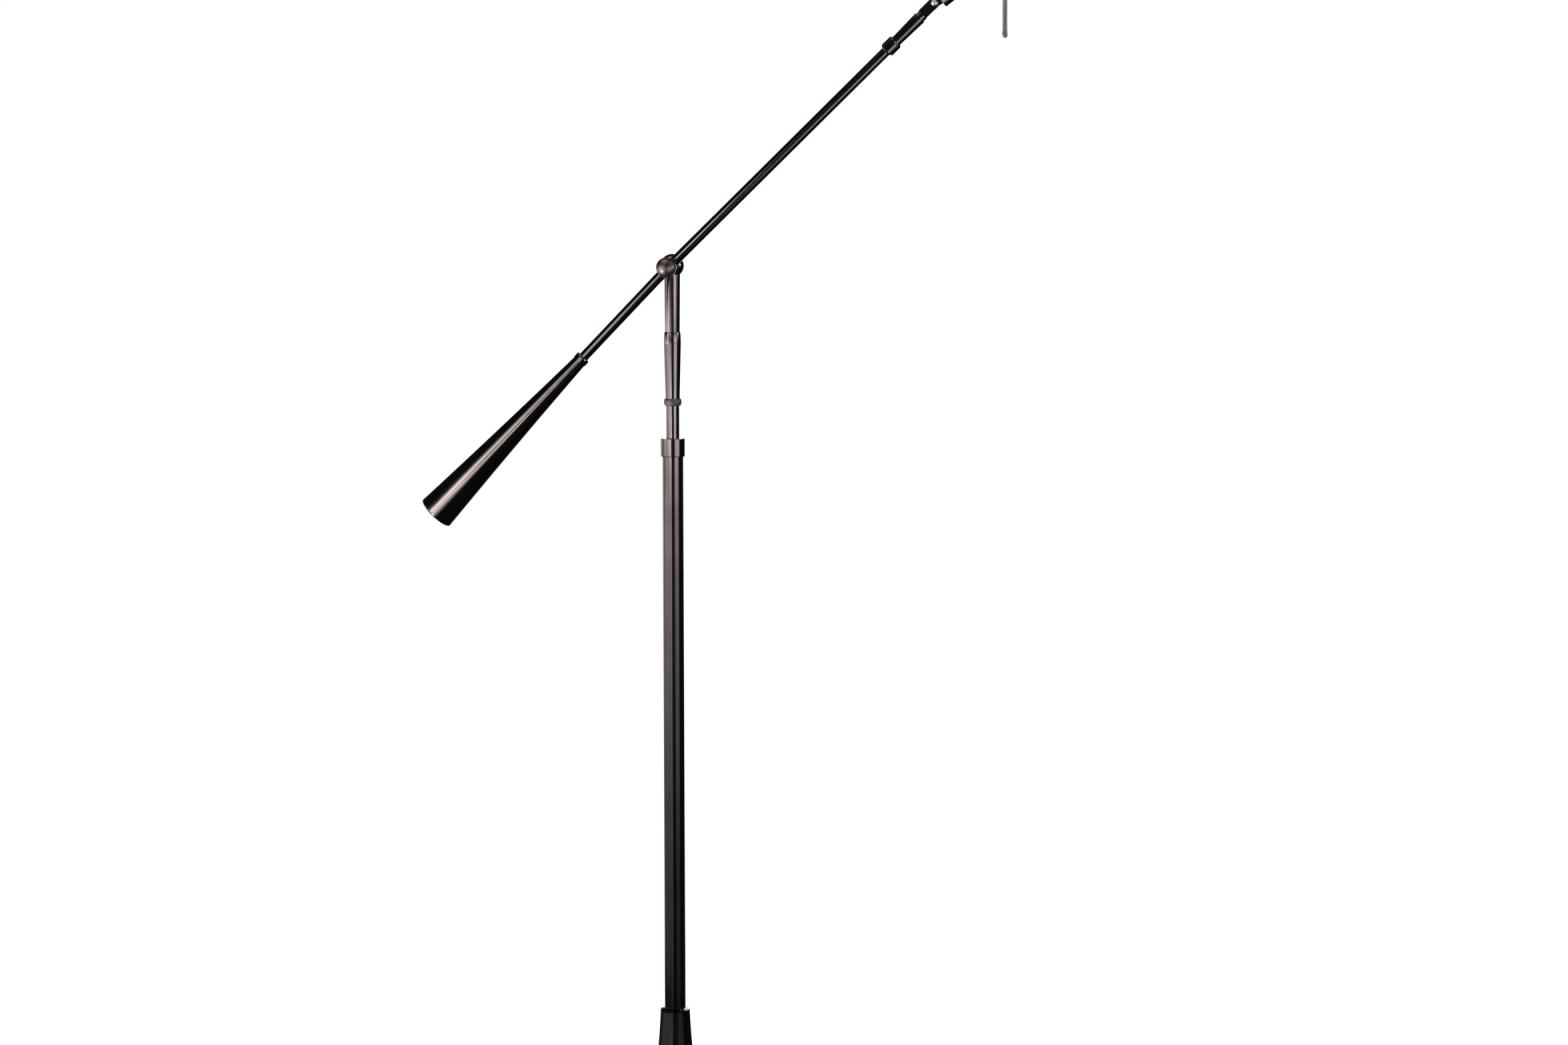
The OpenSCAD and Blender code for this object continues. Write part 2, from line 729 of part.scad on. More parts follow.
module lock_collar() {
    z0 = collar_top - collar_h;
    bore_r = column_d / 2 + running_gap;
    lip_r = slide_d / 2 + seat_gap;
    color(bronze) rotate_extrude() polygon(concat(
        [[bore_r, z0]],
        arc([collar_d / 2 - collar_edge, z0 + collar_edge], collar_edge, -90, 0),
        arc([collar_d / 2 - collar_edge / 2, collar_top - collar_edge / 2], collar_edge / 2, 0, 90),
        [[lip_r, collar_top], [lip_r, collar_seat_z], [bore_r, collar_seat_z]]));
}

// Sliding stem
module slide_tube() {
    color(bronze) translate([0, 0, slide_bottom]) tube(slide_d, slide_d - 2 * slide_wall, slide_l);
}

module guide_bush() {
    color(nylon) translate([0, 0, slide_bottom])
        tube(column_bore - 2 * running_gap, slide_d + 2 * fit_gap, guide_bush_l);
}

module bead_ring() {
    bead_r = bead_d / 2;
    bore_r = slide_d / 2 + fit_gap;
    color(bronze) translate([0, 0, cup_z - bead_h / 2]) rotate_extrude() polygon(concat(
        [[bore_r, -bead_h / 2]],
        [for (i = [0:curve_steps]) let (a = -90 + 180 * i / curve_steps)
            [bead_land_r + (bead_r - bead_land_r) * cos(a), bead_h / 2 * sin(a)]],
        [[bore_r, bead_h / 2]]));
}

module cone_cup() {
    spigot_r = slide_d / 2 - slide_wall - fit_gap;
    spigot_z = cup_z - cup_spigot_h;
    bore_r = cup_bore / 2;
    socket_r = neck_spigot_d / 2 + running_gap;
    bolt_r = neck_bolt_d / 2 + seat_gap;
    mouth_r = cup_mouth_d / 2;
    swell = cup_top_d / 2 - mouth_r;
    color(bronze) rotate_extrude() polygon(concat(
        [[bore_r, spigot_z], [spigot_r, spigot_z], [spigot_r, cup_z], [cup_bottom_d / 2, cup_z]],
        [for (i = [0:curve_steps]) let (a = 90 * i / curve_steps)
            [mouth_r + swell * cos(a), cup_top + cup_shoulder_h * (sin(a) - 1)]],
        [[socket_r, cup_top], [socket_r, cup_web_top], [bolt_r, cup_web_top],
            [bolt_r, cup_web_bottom], [bore_r, cup_web_bottom]]));
}

module neck_washer() {
    color(nylon) translate([0, 0, cup_top + face_gap])
        tube(neck_washer_d, neck_spigot_d + 2 * seat_gap, neck_washer_h);
}

// Neck and ball
module neck() {
    spigot_z = cup_top - neck_spigot_h;
    color(bronze) difference() {
        rotate_extrude() polygon([
            [0, spigot_z], [neck_spigot_d / 2, spigot_z], [neck_spigot_d / 2, neck_z],
            [neck_bottom_d / 2, neck_z], [neck_top_d / 2, neck_top], [ball_dowel_d / 2, neck_top],
            [ball_dowel_d / 2, neck_top + ball_dowel_h], [0, neck_top + ball_dowel_h]]);
        translate([0, 0, spigot_z - over])
            cylinder(d = neck_bolt_d + 2 * fit_gap, h = neck_bolt_grip + over + bottom_gap);
    }
}

module neck_bolt() {
    head_top = cup_web_bottom - face_gap;
    color(steel) union() {
        translate([0, 0, head_top - neck_bolt_head_h])
            cylinder(d = neck_bolt_head_d, h = neck_bolt_head_h);
        translate([0, 0, head_top - join])
            cylinder(d = neck_bolt_d, h = cup_top - neck_spigot_h + neck_bolt_grip - head_top + join);
    }
}

module neck_ball() {
    color(bronze) on_pivot() difference() {
        sphere(d = ball_d);
        translate([-ball_d, -ball_d, -2 * ball_d - ball_seat]) cube(2 * ball_d);
        translate([-ball_d, -2 * ball_d - ball_face, -ball_d]) cube(2 * ball_d);
        translate([0, 0, -ball_seat - over])
            cylinder(d = ball_dowel_d + 2 * fit_gap, h = ball_dowel_h + over + bottom_gap);
        y_rod(stud_d + 2 * fit_gap, stud_depth, -ball_d);
    }
}

module pivot_stud() {
    color(steel) on_pivot() y_rod(stud_d, stud_depth, stud_end_y);
}

module rear_friction_washer() {
    color(nylon) on_pivot()
        y_ring(friction_d, stud_d + 2 * seat_gap, rear_friction_y, rear_friction_y - friction_h);
}

module front_friction_washer() {
    color(nylon) on_pivot()
        y_ring(friction_d, stud_d + 2 * seat_gap, front_friction_y, front_friction_y - friction_h);
}

module ball_knob() {
    color(bronze) on_pivot() difference() {
        translate([0, knob_y, 0]) rotate([90, 0, 0]) sphere(d = knob_d);
        translate([-knob_d, knob_back_y, -knob_d]) cube(2 * knob_d);
        y_rod(stud_d + 2 * running_gap, 0, stud_end_y - seat_gap);
    }
}

// Boom
module rod_socket() {
    translate([0, 0, hub_flat - rod_spigot_h - bottom_gap])
        cylinder(d = rod_spigot_d + 2 * fit_gap, h = hub_d);
    translate([-hub_d, -hub_d, hub_flat]) cube(2 * hub_d);
}

module boom_hub() {
    color(bronze) difference() {
        on_pivot() y_ring(hub_d, stud_d + 2 * running_gap, hub_back_y, hub_front_y);
        on_front_rod() rod_socket();
        on_rear_rod() rod_socket();
    }
}

module front_rod() {
    color(bronze) on_front_rod() difference() {
        union() {
            translate([0, 0, hub_flat - rod_spigot_h])
                cylinder(d = rod_spigot_d, h = rod_spigot_h + join);
            translate([0, 0, hub_flat]) cylinder(d = rod_d, h = front_collar_at - hub_flat - face_gap);
        }
        translate([0, 0, hub_flat + rod_spigot_h]) cylinder(d = rod_bore, h = knuckle_at);
        cylinder(d = rod_spigot_d / 2, h = knuckle_at / 2);
    }
}

module front_collar() {
    color(bronze) on_front_rod() translate([0, 0, front_collar_start])
        chamfered_tube(front_collar_d, rod_d + 2 * fit_gap, front_collar_l, front_collar_chamfer);
}

module boom_ferrule() {
    color(bronze) on_front_rod() difference() {
        union() {
            translate([0, 0, front_collar_at + face_gap])
                cylinder(d = rod_d, h = front_collar_l / 2 + join);
            translate([0, 0, front_collar_end])
                cylinder(d1 = ferrule_thin_d, d2 = ferrule_fat_d, h = ferrule_l);
        }
        translate([0, 0, ferrule_end - clevis_shank_l - bottom_gap])
            cylinder(d = clevis_shank_d + 2 * fit_gap, h = clevis_shank_l + over);
        cylinder(d = clevis_shank_d / 2, h = knuckle_at);
    }
}

module clevis() {
    root = ferrule_end;
    slot_start = knuckle_at - tongue_r - slot_room;
    across = slot_w + 2 * ear_w;
    color(bronze) on_front_rod() difference() {
        union() {
            translate([0, 0, root - clevis_shank_l])
                cylinder(d = clevis_shank_d, h = clevis_shank_l + join);
            translate([0, 0, root]) cylinder(d = across, h = clevis_root_l);
            translate([-ear_r, -across / 2, root + clevis_root_l - join])
                cube([2 * ear_r, across, clevis_reach + join]);
            translate([0, 0, knuckle_at]) y_rod(2 * ear_r, across / 2, -across / 2);
        }
        translate([-2 * ear_r, -slot_w / 2, slot_start]) cube([4 * ear_r, slot_w, 4 * ear_r]);
        translate([0, 0, knuckle_at]) y_rod(knuckle_d + 2 * fit_gap, across, -across);
        translate([0, 0, root - clevis_shank_l - over])
            cylinder(d = clevis_shank_d / 2, h = slot_start - root + clevis_shank_l + 2 * over);
    }
}

module knuckle_screw() {
    front_y = boom_y - slot_w / 2 - ear_w;
    back_y = boom_y + slot_w / 2 + ear_w;
    dome_r = (pow(knuckle_head_d / 2, 2) + pow(knuckle_head_h, 2)) / (2 * knuckle_head_h);
    color(steel) on_knuckle() union() {
        y_rod(knuckle_d, back_y + knuckle_nut_h + knuckle_tail, front_y - join);
        intersection() {
            translate([0, front_y - knuckle_head_h + dome_r, 0]) sphere(r = dome_r);
            y_rod(knuckle_head_d, front_y, front_y - 2 * knuckle_head_h);
        }
    }
}

module knuckle_nut() {
    back_y = boom_y + slot_w / 2 + ear_w;
    color(steel) on_knuckle() translate([0, back_y + knuckle_nut_h, 0]) rotate([90, 0, 0])
        hex_nut(knuckle_nut_af, knuckle_d + 2 * fit_gap, knuckle_nut_h);
}

// Counterweight
module rear_rod() {
    color(bronze) on_rear_rod() difference() {
        union() {
            translate([0, 0, hub_flat - rod_spigot_h])
                cylinder(d = rod_spigot_d, h = rod_spigot_h + join);
            translate([0, 0, hub_flat]) cylinder(d = rod_d, h = rear_rod_end - hub_flat);
        }
        translate([0, 0, rear_rod_end - end_screw_grip - bottom_gap])
            cylinder(d = end_screw_d + 2 * fit_gap, h = end_screw_grip + over);
    }
}

module weight_ring() {
    color(bronze) on_rear_rod() translate([0, 0, ring_at]) rotate_extrude() polygon([
        [rod_d / 2 + fit_gap, 0], [ring_d / 2 - ring_chamfer, 0], [ring_d / 2, ring_chamfer],
        [ring_d / 2, ring_l], [rod_d / 2 + fit_gap, ring_l]]);
}

module counterweight() {
    end_r = weight_r(1) - weight_edge;
    color(bronze) on_rear_rod() difference() {
        translate([0, 0, weight_at]) rotate_extrude() polygon(concat(
            [[0, 0]],
            [for (i = [0:weight_steps]) let (t = i / weight_steps * (1 - weight_edge / weight_l))
                [weight_r(t), t * weight_l]],
            arc([end_r, weight_l - weight_edge], weight_edge, weight_edge_turn, 90),
            [[0, weight_l]]));
        cylinder(d = rod_d + 2 * fit_gap, h = rear_rod_end + bottom_gap);
        cylinder(d = end_screw_d + 2 * seat_gap, h = weight_tip);
        translate([0, 0, weight_tip - end_screw_head_h])
            cylinder(d = end_screw_head_d + 2 * seat_gap, h = end_screw_head_h + over);
    }
}

module weight_screw() {
    color(steel) on_rear_rod() difference() {
        union() {
            translate([0, 0, rear_rod_end - end_screw_grip])
                cylinder(d = end_screw_d, h = end_screw_grip + weight_end - end_screw_head_h + join);
            translate([0, 0, weight_tip - end_screw_head_h])
                cylinder(d = end_screw_head_d, h = end_screw_head_h);
        }
        translate([-end_screw_slot / 2, -end_screw_head_d, weight_tip - end_screw_head_h / 2])
            cube([end_screw_slot, 2 * end_screw_head_d, end_screw_head_h]);
    }
}

// Head stem
module head_tongue() {
    shank_z = tongue_l - join;
    color(bronze) on_stem() difference() {
        union() {
            y_rod(2 * tongue_r, head_w / 2, -head_w / 2);
            translate([-tongue_r, -head_w / 2, 0]) cube([2 * tongue_r, head_w, tongue_l]);
            translate([0, 0, shank_z]) cylinder(d = tongue_shank_d, h = tongue_shank_l + join);
        }
        y_rod(knuckle_d + 2 * running_gap, head_w, -head_w);
        translate([0, 0, tongue_l - over]) cylinder(d = tongue_shank_d / 2, h = tongue_shank_l + 2 * over);
    }
}

module stem_ferrule() {
    color(bronze) on_stem() translate([0, 0, tongue_l]) difference() {
        cylinder(d1 = stem_ferrule_fat_d, d2 = stem_ferrule_thin_d, h = stem_ferrule_l);
        translate([0, 0, -over]) cylinder(d = tongue_shank_d + 2 * fit_gap, h = stem_ferrule_l);
        translate([0, 0, stem_ferrule_l - stem_socket])
            cylinder(d = stem_d + 2 * fit_gap, h = stem_socket + over);
    }
}

// Run of the head stem at one diameter, drawn from its bend, with its ends run on by a length
module stem_run(d, run_on) {
    rotate_extrude(angle = stem_angle - 90) translate([stem_bend_r, 0]) circle(d = d - stem_bend_thin);
    translate([stem_bend_r, -join, 0]) rotate([-90, 0, 0]) cylinder(d = d, h = join + stem_top_l + run_on);
    rotate([0, 0, stem_angle - 90]) translate([stem_bend_r, join, 0]) rotate([90, 0, 0])
        cylinder(d = d, h = join + bend_start - stem_start + run_on);
}

module head_stem() {
    bend_centre = [knuckle_x + bend_x, boom_y, knuckle_z + bend_z];
    color(bronze) translate(bend_centre) rotate([90, 0, 0]) difference() {
        stem_run(stem_d, 0);
        stem_run(stem_bore, over);
    }
}

module stem_nipple() {
    color(steel) on_shade(stem_top - nipple_grip)
        tube(stem_bore - 2 * fit_gap, nipple_bore, nipple_top - stem_top + nipple_grip);
}

// Lampholder
module harp_saddle() {
    color(brass) on_shade(stem_top) union() {
        difference() {
            union() {
                translate([-saddle_w / 2, -harp_foot, 0]) cube([saddle_w, 2 * harp_foot, saddle_h]);
                for (side = [-1, 1]) translate([0, side * harp_foot, 0])
                    cylinder(d = saddle_w, h = saddle_h);
            }
            translate([0, 0, -over]) cylinder(d = stem_bore + 2 * seat_gap, h = saddle_h + 2 * over);
        }
        for (side = [-1, 1]) translate([0, side * harp_foot, saddle_h - join])
            cylinder(d = harp_wire, h = sleeve_h / 2 + join);
    }
}

module holder_nut() {
    color(brass) on_shade(holder_nut_z) hex_nut(holder_nut_af, stem_bore + 2 * fit_gap, holder_nut_h);
}

module holder_cap() {
    bore_r = stem_bore / 2 + fit_gap;
    hub_r = cap_hub_d / 2;
    rim_r = holder_d / 2 - holder_wall - seat_gap;
    wall = holder_wall;
    sweep_h = cap_h - cap_lap;
    color(brass) on_shade(cap_z) rotate_extrude() polygon(concat(
        [[bore_r, 0], [hub_r, 0]],
        [for (i = [0:curve_steps]) let (a = 90 * i / curve_steps)
            [hub_r + (rim_r - hub_r) * sin(a), sweep_h * (1 - cos(a)) + wall * (1 - sin(a))]],
        [[rim_r, cap_h], [rim_r - wall, cap_h]],
        [for (i = [curve_steps:-1:0]) let (a = 90 * i / curve_steps)
            [hub_r + (rim_r - wall - hub_r) * sin(a), sweep_h * (1 - cos(a)) + 2 * wall]],
        [[bore_r, 2 * wall]]));
}

module holder_shell() {
    mouth = screw_shell_d + 2 * seat_gap;
    color(brass) on_chain_side(shell_z) difference() {
        union() {
            tube(holder_d, holder_d - 2 * holder_wall, holder_h);
            translate([0, 0, holder_h - holder_wall]) tube(holder_d, mouth, holder_wall);
        }
        translate([0, 0, chain_guide_up]) rotate([0, -90, 0])
            cylinder(d = chain_guide_d + 2 * fit_gap, h = holder_d);
    }
}

module holder_core() {
    color(phenolic) on_chain_side(core_z) difference() {
        cylinder(d = holder_d - 2 * holder_wall - 2 * seat_gap, h = core_h);
        translate([0, 0, chain_guide_z - core_z]) rotate([0, -90, 0])
            translate([0, 0, guide_root]) cylinder(d = chain_guide_d + 2 * seat_gap, h = holder_d);
    }
}

module screw_shell() {
    color(brass) on_shade(screw_shell_z)
        tube(screw_shell_d, screw_shell_d - 2 * screw_shell_wall, shell_top - screw_shell_z);
}

module chain_guide() {
    root = guide_root + seat_gap;
    flare = chain_guide_flare;
    color(brass) on_chain_side(chain_guide_z) difference() {
        union() {
            translate([-chain_out, 0, 0]) rotate([0, 90, 0])
                cylinder(d = chain_guide_d, h = chain_out - root);
            translate([-chain_out, 0, 0]) sphere(d = chain_guide_d);
            translate([-chain_out, 0, -chain_guide_l]) cylinder(d = chain_guide_d, h = chain_guide_l);
            translate([-chain_out, 0, -chain_guide_l - flare])
                cylinder(d1 = chain_guide_d + 2 * flare, d2 = chain_guide_d, h = flare);
        }
        translate([-chain_out, 0, -chain_guide_l - flare - over])
            cylinder(d = chain_guide_bore, h = chain_guide_l + flare + over + chain_guide_bore / 2);
        translate([-chain_out, 0, 0]) rotate([0, 90, 0]) cylinder(d = chain_guide_bore, h = chain_out);
    }
}

// Harp
module wire(from, to, d) {
    v = to - from;
    l = norm(v);
    translate(from) rotate([0, acos(v[2] / l), atan2(v[1], v[0])]) cylinder(d = d, h = l);
}

// One leg of the harp: a foot, an outward slant between two rounded bends and a run to the arch
module harp_leg() {
    foot = [0, harp_foot, sleeve_h / 2 + face_gap];
    lower_bend = [0, harp_foot, harp_spread_at];
    upper_bend = [0, harp_r, harp_spread_at + harp_spread_h];
    arch = [0, harp_r, harp_arc_z - saddle_top];
    wire(foot, lower_bend, harp_wire);
    wire(lower_bend, upper_bend, harp_wire);
    wire(upper_bend, arch, harp_wire);
    for (bend = [lower_bend, upper_bend]) translate(bend) sphere(d = harp_wire + harp_bend_swell);
}

module harp() {
    color(brass) on_shade(saddle_top) union() {
        harp_leg();
        mirror([0, 1, 0]) harp_leg();
        translate([0, 0, harp_arc_z - saddle_top]) rotate([90, 0, 90]) rotate_extrude(angle = 180)
            translate([harp_r, 0]) circle(d = harp_wire);
        translate([0, 0, harp_h - harp_seat_h]) cylinder(d = harp_seat_d, h = harp_seat_h);
        translate([0, 0, harp_h - join]) cylinder(d = harp_stud_d, h = harp_stud_l + join);
    }
}

module harp_sleeves() {
    color(brass) on_shade(saddle_top) for (side = [-1, 1]) translate([0, side * harp_foot, 0])
        tube(sleeve_d, harp_wire + 2 * fit_gap, sleeve_h);
}

// Bulb
module bulb_cap() {
    color(steel) on_shade(bulb_z) union() {
        cylinder(d1 = bulb_cap_d / 3, d2 = bulb_cap_d, h = bulb_tip_h);
        translate([0, 0, bulb_tip_h]) cylinder(d = bulb_cap_d, h = bulb_cap_h - bulb_tip_h);
    }
}

module bulb_collar() {
    color(diffuser) on_shade(bulb_collar_z) rotate_extrude() polygon(concat(
        [[0, 0], [bulb_cap_d / 2, 0]],
        [for (i = [1:curve_steps]) let (t = i / curve_steps)
            [bulb_cap_d / 2 + (bulb_d - bulb_cap_d) / 2 * t * t * (1 + bulb_swell * (1 - t)),
                bulb_collar_h * t]],
        [[0, bulb_collar_h]]));
}

module bulb_dome() {
    color(diffuser) on_shade(bulb_dome_z) intersection() {
        sphere(d = bulb_d);
        cylinder(d = 2 * bulb_d, h = bulb_d);
    }
}

// Shade
module shade_wall_cloth() {
    color(linen) on_shade(shade_z) rotate_extrude() polygon([
        [shade_bottom_d / 2, 0], [shade_top_d / 2, shade_h],
        [shade_top_d / 2 - shade_wall, shade_h], [shade_bottom_d / 2 - shade_wall, 0]]);
}

// Radius of a wire ring that lies inside the shade's wall at a height above the lower rim
function shade_ring_r(z) = (shade_bottom_d + (shade_top_d - shade_bottom_d) * z / shade_h) / 2
    - shade_wall - shade_wire / 2 - seat_gap;

module ring_wire(r) {
    rotate_extrude() translate([r, 0]) circle(d = shade_wire);
}

module shade_lower_ring() {
    color(steel) on_shade(shade_z + shade_wire / 2) ring_wire(shade_ring_r(shade_wire / 2));
}

module shade_spider() {
    ring_z = shade_top - shade_wire / 2 - harp_seat_z;
    ring_r = shade_ring_r(shade_h - shade_wire / 2);
    color(brass) on_shade(harp_seat_z) difference() {
        union() {
            translate([0, 0, ring_z]) ring_wire(ring_r);
            cylinder(d = spider_hub_d, h = spider_hub_h);
            for (i = [0:spoke_count - 1]) rotate([0, 0, 360 / spoke_count * i])
                wire([harp_stud_d / 2 + spoke_root, 0, spider_hub_h], [ring_r, 0, ring_z], shade_wire);
        }
        translate([0, 0, -harp_seat_h]) cylinder(d = harp_stud_d + 2 * seat_gap, h = harp_stud_l);
    }
}

module finial() {
    base_z = spider_hub_h + shade_wire;
    ball_z = base_z + finial_foot_h + finial_d * finial_lift;
    color(bronze) on_shade(harp_seat_z) difference() {
        union() {
            translate([0, 0, base_z])
                cylinder(d1 = finial_d, d2 = finial_d * finial_waist, h = finial_foot_h);
            translate([0, 0, ball_z]) sphere(d = finial_d);
        }
        translate([0, 0, -over])
            cylinder(d = harp_stud_d + 2 * fit_gap, h = harp_stud_l + over + bottom_gap);
    }
}

// Pull
module pull_chain() {
    run = chain_pitch * chain_beads + bar_hole - bottom_gap;
    color(bronze) on_chain_side(chain_top) translate([-chain_out, 0, 0]) union() {
        for (i = [0:chain_beads - 1]) translate([0, 0, -chain_pitch * i]) sphere(d = chain_bead_d);
        translate([0, 0, -run]) cylinder(d = chain_wire, h = run);
    }
}

module pull_bar() {
    color(bronze) on_chain_side(bar_top - bar_l) translate([-chain_out, 0, 0]) difference() {
        union() {
            translate([0, 0, bar_end_d / 2]) sphere(d = bar_end_d);
            translate([0, 0, bar_end_d / 2]) cylinder(d1 = bar_end_d, d2 = bar_d, h = bar_end_d);
            translate([0, 0, bar_end_d]) cylinder(d = bar_d, h = bar_l - bar_end_d);
        }
        translate([0, 0, bar_l - bar_hole]) cylinder(d = chain_wire + 2 * fit_gap, h = bar_hole + over);
    }
}

floor_pad();
base_weight();
base_cover();
lead_bushing();
clamp_washer();
clamp_nut();
tie_rod();
foot_cone();
foot_ring();
column_tube();
column_plug();
column_bush();
lock_collar();
slide_tube();
guide_bush();
bead_ring();
cone_cup();
neck_washer();
neck();
neck_bolt();
neck_ball();
pivot_stud();
rear_friction_washer();
boom_hub();
front_friction_washer();
ball_knob();
front_rod();
front_collar();
boom_ferrule();
clevis();
knuckle_screw();
knuckle_nut();
rear_rod();
weight_ring();
counterweight();
weight_screw();
head_tongue();
stem_ferrule();
head_stem();
stem_nipple();
harp_saddle();
holder_nut();
holder_cap();
holder_shell();
holder_core();
screw_shell();
chain_guide();
harp();
harp_sleeves();
bulb_cap();
bulb_collar();
bulb_dome();
shade_spider();
shade_lower_ring();
shade_wall_cloth();
finial();
pull_chain();
pull_bar();
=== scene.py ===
import math
import random

import bpy
from mathutils import Matrix, Vector


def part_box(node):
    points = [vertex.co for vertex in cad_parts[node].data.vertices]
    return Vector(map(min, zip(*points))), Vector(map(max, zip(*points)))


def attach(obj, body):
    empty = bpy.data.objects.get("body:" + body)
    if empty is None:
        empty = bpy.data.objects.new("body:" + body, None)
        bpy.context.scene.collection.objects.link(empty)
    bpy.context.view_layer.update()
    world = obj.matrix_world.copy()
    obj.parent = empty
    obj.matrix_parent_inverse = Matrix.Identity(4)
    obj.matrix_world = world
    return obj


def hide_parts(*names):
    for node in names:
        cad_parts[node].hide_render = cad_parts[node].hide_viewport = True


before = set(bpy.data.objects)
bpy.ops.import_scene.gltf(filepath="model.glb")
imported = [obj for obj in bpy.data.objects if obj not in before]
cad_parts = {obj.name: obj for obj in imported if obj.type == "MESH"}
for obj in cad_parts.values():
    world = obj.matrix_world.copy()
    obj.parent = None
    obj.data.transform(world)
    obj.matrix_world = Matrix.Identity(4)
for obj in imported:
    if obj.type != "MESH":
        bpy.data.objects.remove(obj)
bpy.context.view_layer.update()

scene = bpy.context.scene
random.seed(7)

# Camera, fitted to the column's lean, the flat ends of the collars and the knob before its ball
CAM_AT = Vector((1.4498, -7.1497, 1.5674))
CAM_AZIMUTH = math.radians(10.4)
CAM_PITCH = math.radians(6.0)
CAM_ROLL = math.radians(-0.125)
CAM_LENS = 137.76
CAM_SENSOR = 36.0
CAM_NEAR = 0.01

# Shade, repeated from the part's source in metres
SHADE_X = 0.44127
SHADE_Y = -0.01955
SHADE_WALL = 0.0016

# Layers of the shade, in metres
COVER_THICK = 0.0010
COVER_BOW = 0.00010
LINER_GAP = 0.00003
TAPE_THICK = 0.0007
TAPE_OUTSIDE = 0.0095
TAPE_PUCKER = 0.00012
SEAM_HALF = 0.006
SEAM_RISE = 0.00045
SEAM_SINK = 0.0001
SEAM_INSET = 0.002

# Steps of the shade's meshes, and the angle from which an edge is sharp
SHADE_SEGMENTS = 240
SHADE_ROWS = 24
COVER_WAVES = 3
SEAM_ACROSS = 12
SEAM_UP = 40
SHARP_ANGLE = math.radians(50.0)

# Polishing marks on metal: their stretch along an axis, and their share in the change of gloss
MARK_STRETCH = (1.0, 1.0, 0.12)
MARK_SHARE = 0.25

# Linen: metres of cloth for a radian round the shade, scales of yarns and slubs as (along, across)
WEAVE_RADIUS = 0.15
YARN_SCALE = (14.0, 620.0)
SLUB_SCALE = (26.0, 420.0)
WANDER_SCALE = 70.0
BIAS_ANGLE = math.radians(45.0)

# Floor, in metres, and the share of its half width from which it fades
FLOOR_SIZE = 3.4
FLOOR_FADE = 0.40

# The ground that the camera sees, and the dim room that all other rays meet
GROUND_COLOUR = (1.0, 1.0, 1.0, 1.0)
ROOM_COLOUR = (0.02, 0.02, 0.022, 1.0)

# Area light over the lamp
ABOVE_AT = (0.0, -0.2, 3.4)
ABOVE_SIZE = 4.0
ABOVE_WATTS = 262.0

WHITE = (1.0, 1.0, 1.0)

# Height in metres that a light panel's colour ramp spans
GLOW_SPAN = 2.0

# How a round light fades, as (share of its radius, share of its strength)
DISC_FADE = [(0.0, 1.0), (0.45, 0.85), (0.75, 0.35), (1.0, 0.0)]

# How the light panels glow, as (height in metres, share of the strength)
GLOW_LEFT = [
    (0.0, 0.03), (0.09, 0.04), (0.23, 0.06), (0.41, 0.12), (0.55, 0.18), (0.69, 0.26),
    (0.735, 0.31), (0.755, 0.52), (0.775, 1.0), (0.80, 0.95), (0.82, 0.45), (0.845, 0.27),
    (0.90, 0.24), (0.93, 0.22), (0.96, 0.08), (1.0, 0.0),
]
GLOW_LEFT_FAR = [
    (0.78, 0.0), (0.83, 0.5), (0.87, 1.0), (0.92, 1.0), (1.03, 0.5), (1.20, 0.40), (1.39, 0.10),
    (1.52, 0.0),
]
GLOW_LEFT_LOW = [
    (0.0, 0.025), (0.09, 0.028), (0.23, 0.038), (0.41, 0.088), (0.55, 0.126), (0.69, 0.185),
    (0.76, 0.235), (0.80, 0.295), (0.83, 0.36), (0.855, 0.25), (0.895, 0.22), (0.91, 0.65),
    (0.925, 1.0), (0.935, 1.0), (0.95, 0.25), (1.0, 0.16), (1.15, 0.0),
]
GLOW_RIGHT = [
    (0.0, 0.016), (0.09, 0.018), (0.23, 0.026), (0.41, 0.08), (0.55, 0.11), (0.69, 0.215),
    (0.75, 0.27), (0.79, 0.50), (0.90, 0.48), (0.925, 0.12), (0.945, 0.12), (0.965, 0.60),
    (1.02, 0.66), (1.06, 0.30), (1.20, 0.20), (1.35, 0.10), (1.60, 0.0),
]
GLOW_WEIGHT = [(0.70, 1.0), (0.80, 1.0), (0.86, 0.75), (0.93, 0.5), (1.0, 0.2), (1.06, 0.0)]
GLOW_ROD = [(1.09, 0.0), (1.12, 1.0), (1.16, 1.0), (1.22, 0.7), (1.30, 0.35), (1.40, 0.0)]
GLOW_BEHIND = [(0.0, 0.2), (0.4, 0.6), (0.8, 1.0), (1.3, 1.0), (1.7, 0.4)]

# How the two panels behind the lamp fade at their sides, as (share of the width, share of strength)
SIDES_BEHIND = [(0.0, 0.0), (0.3, 0.9), (0.7, 0.9), (1.0, 0.0)]


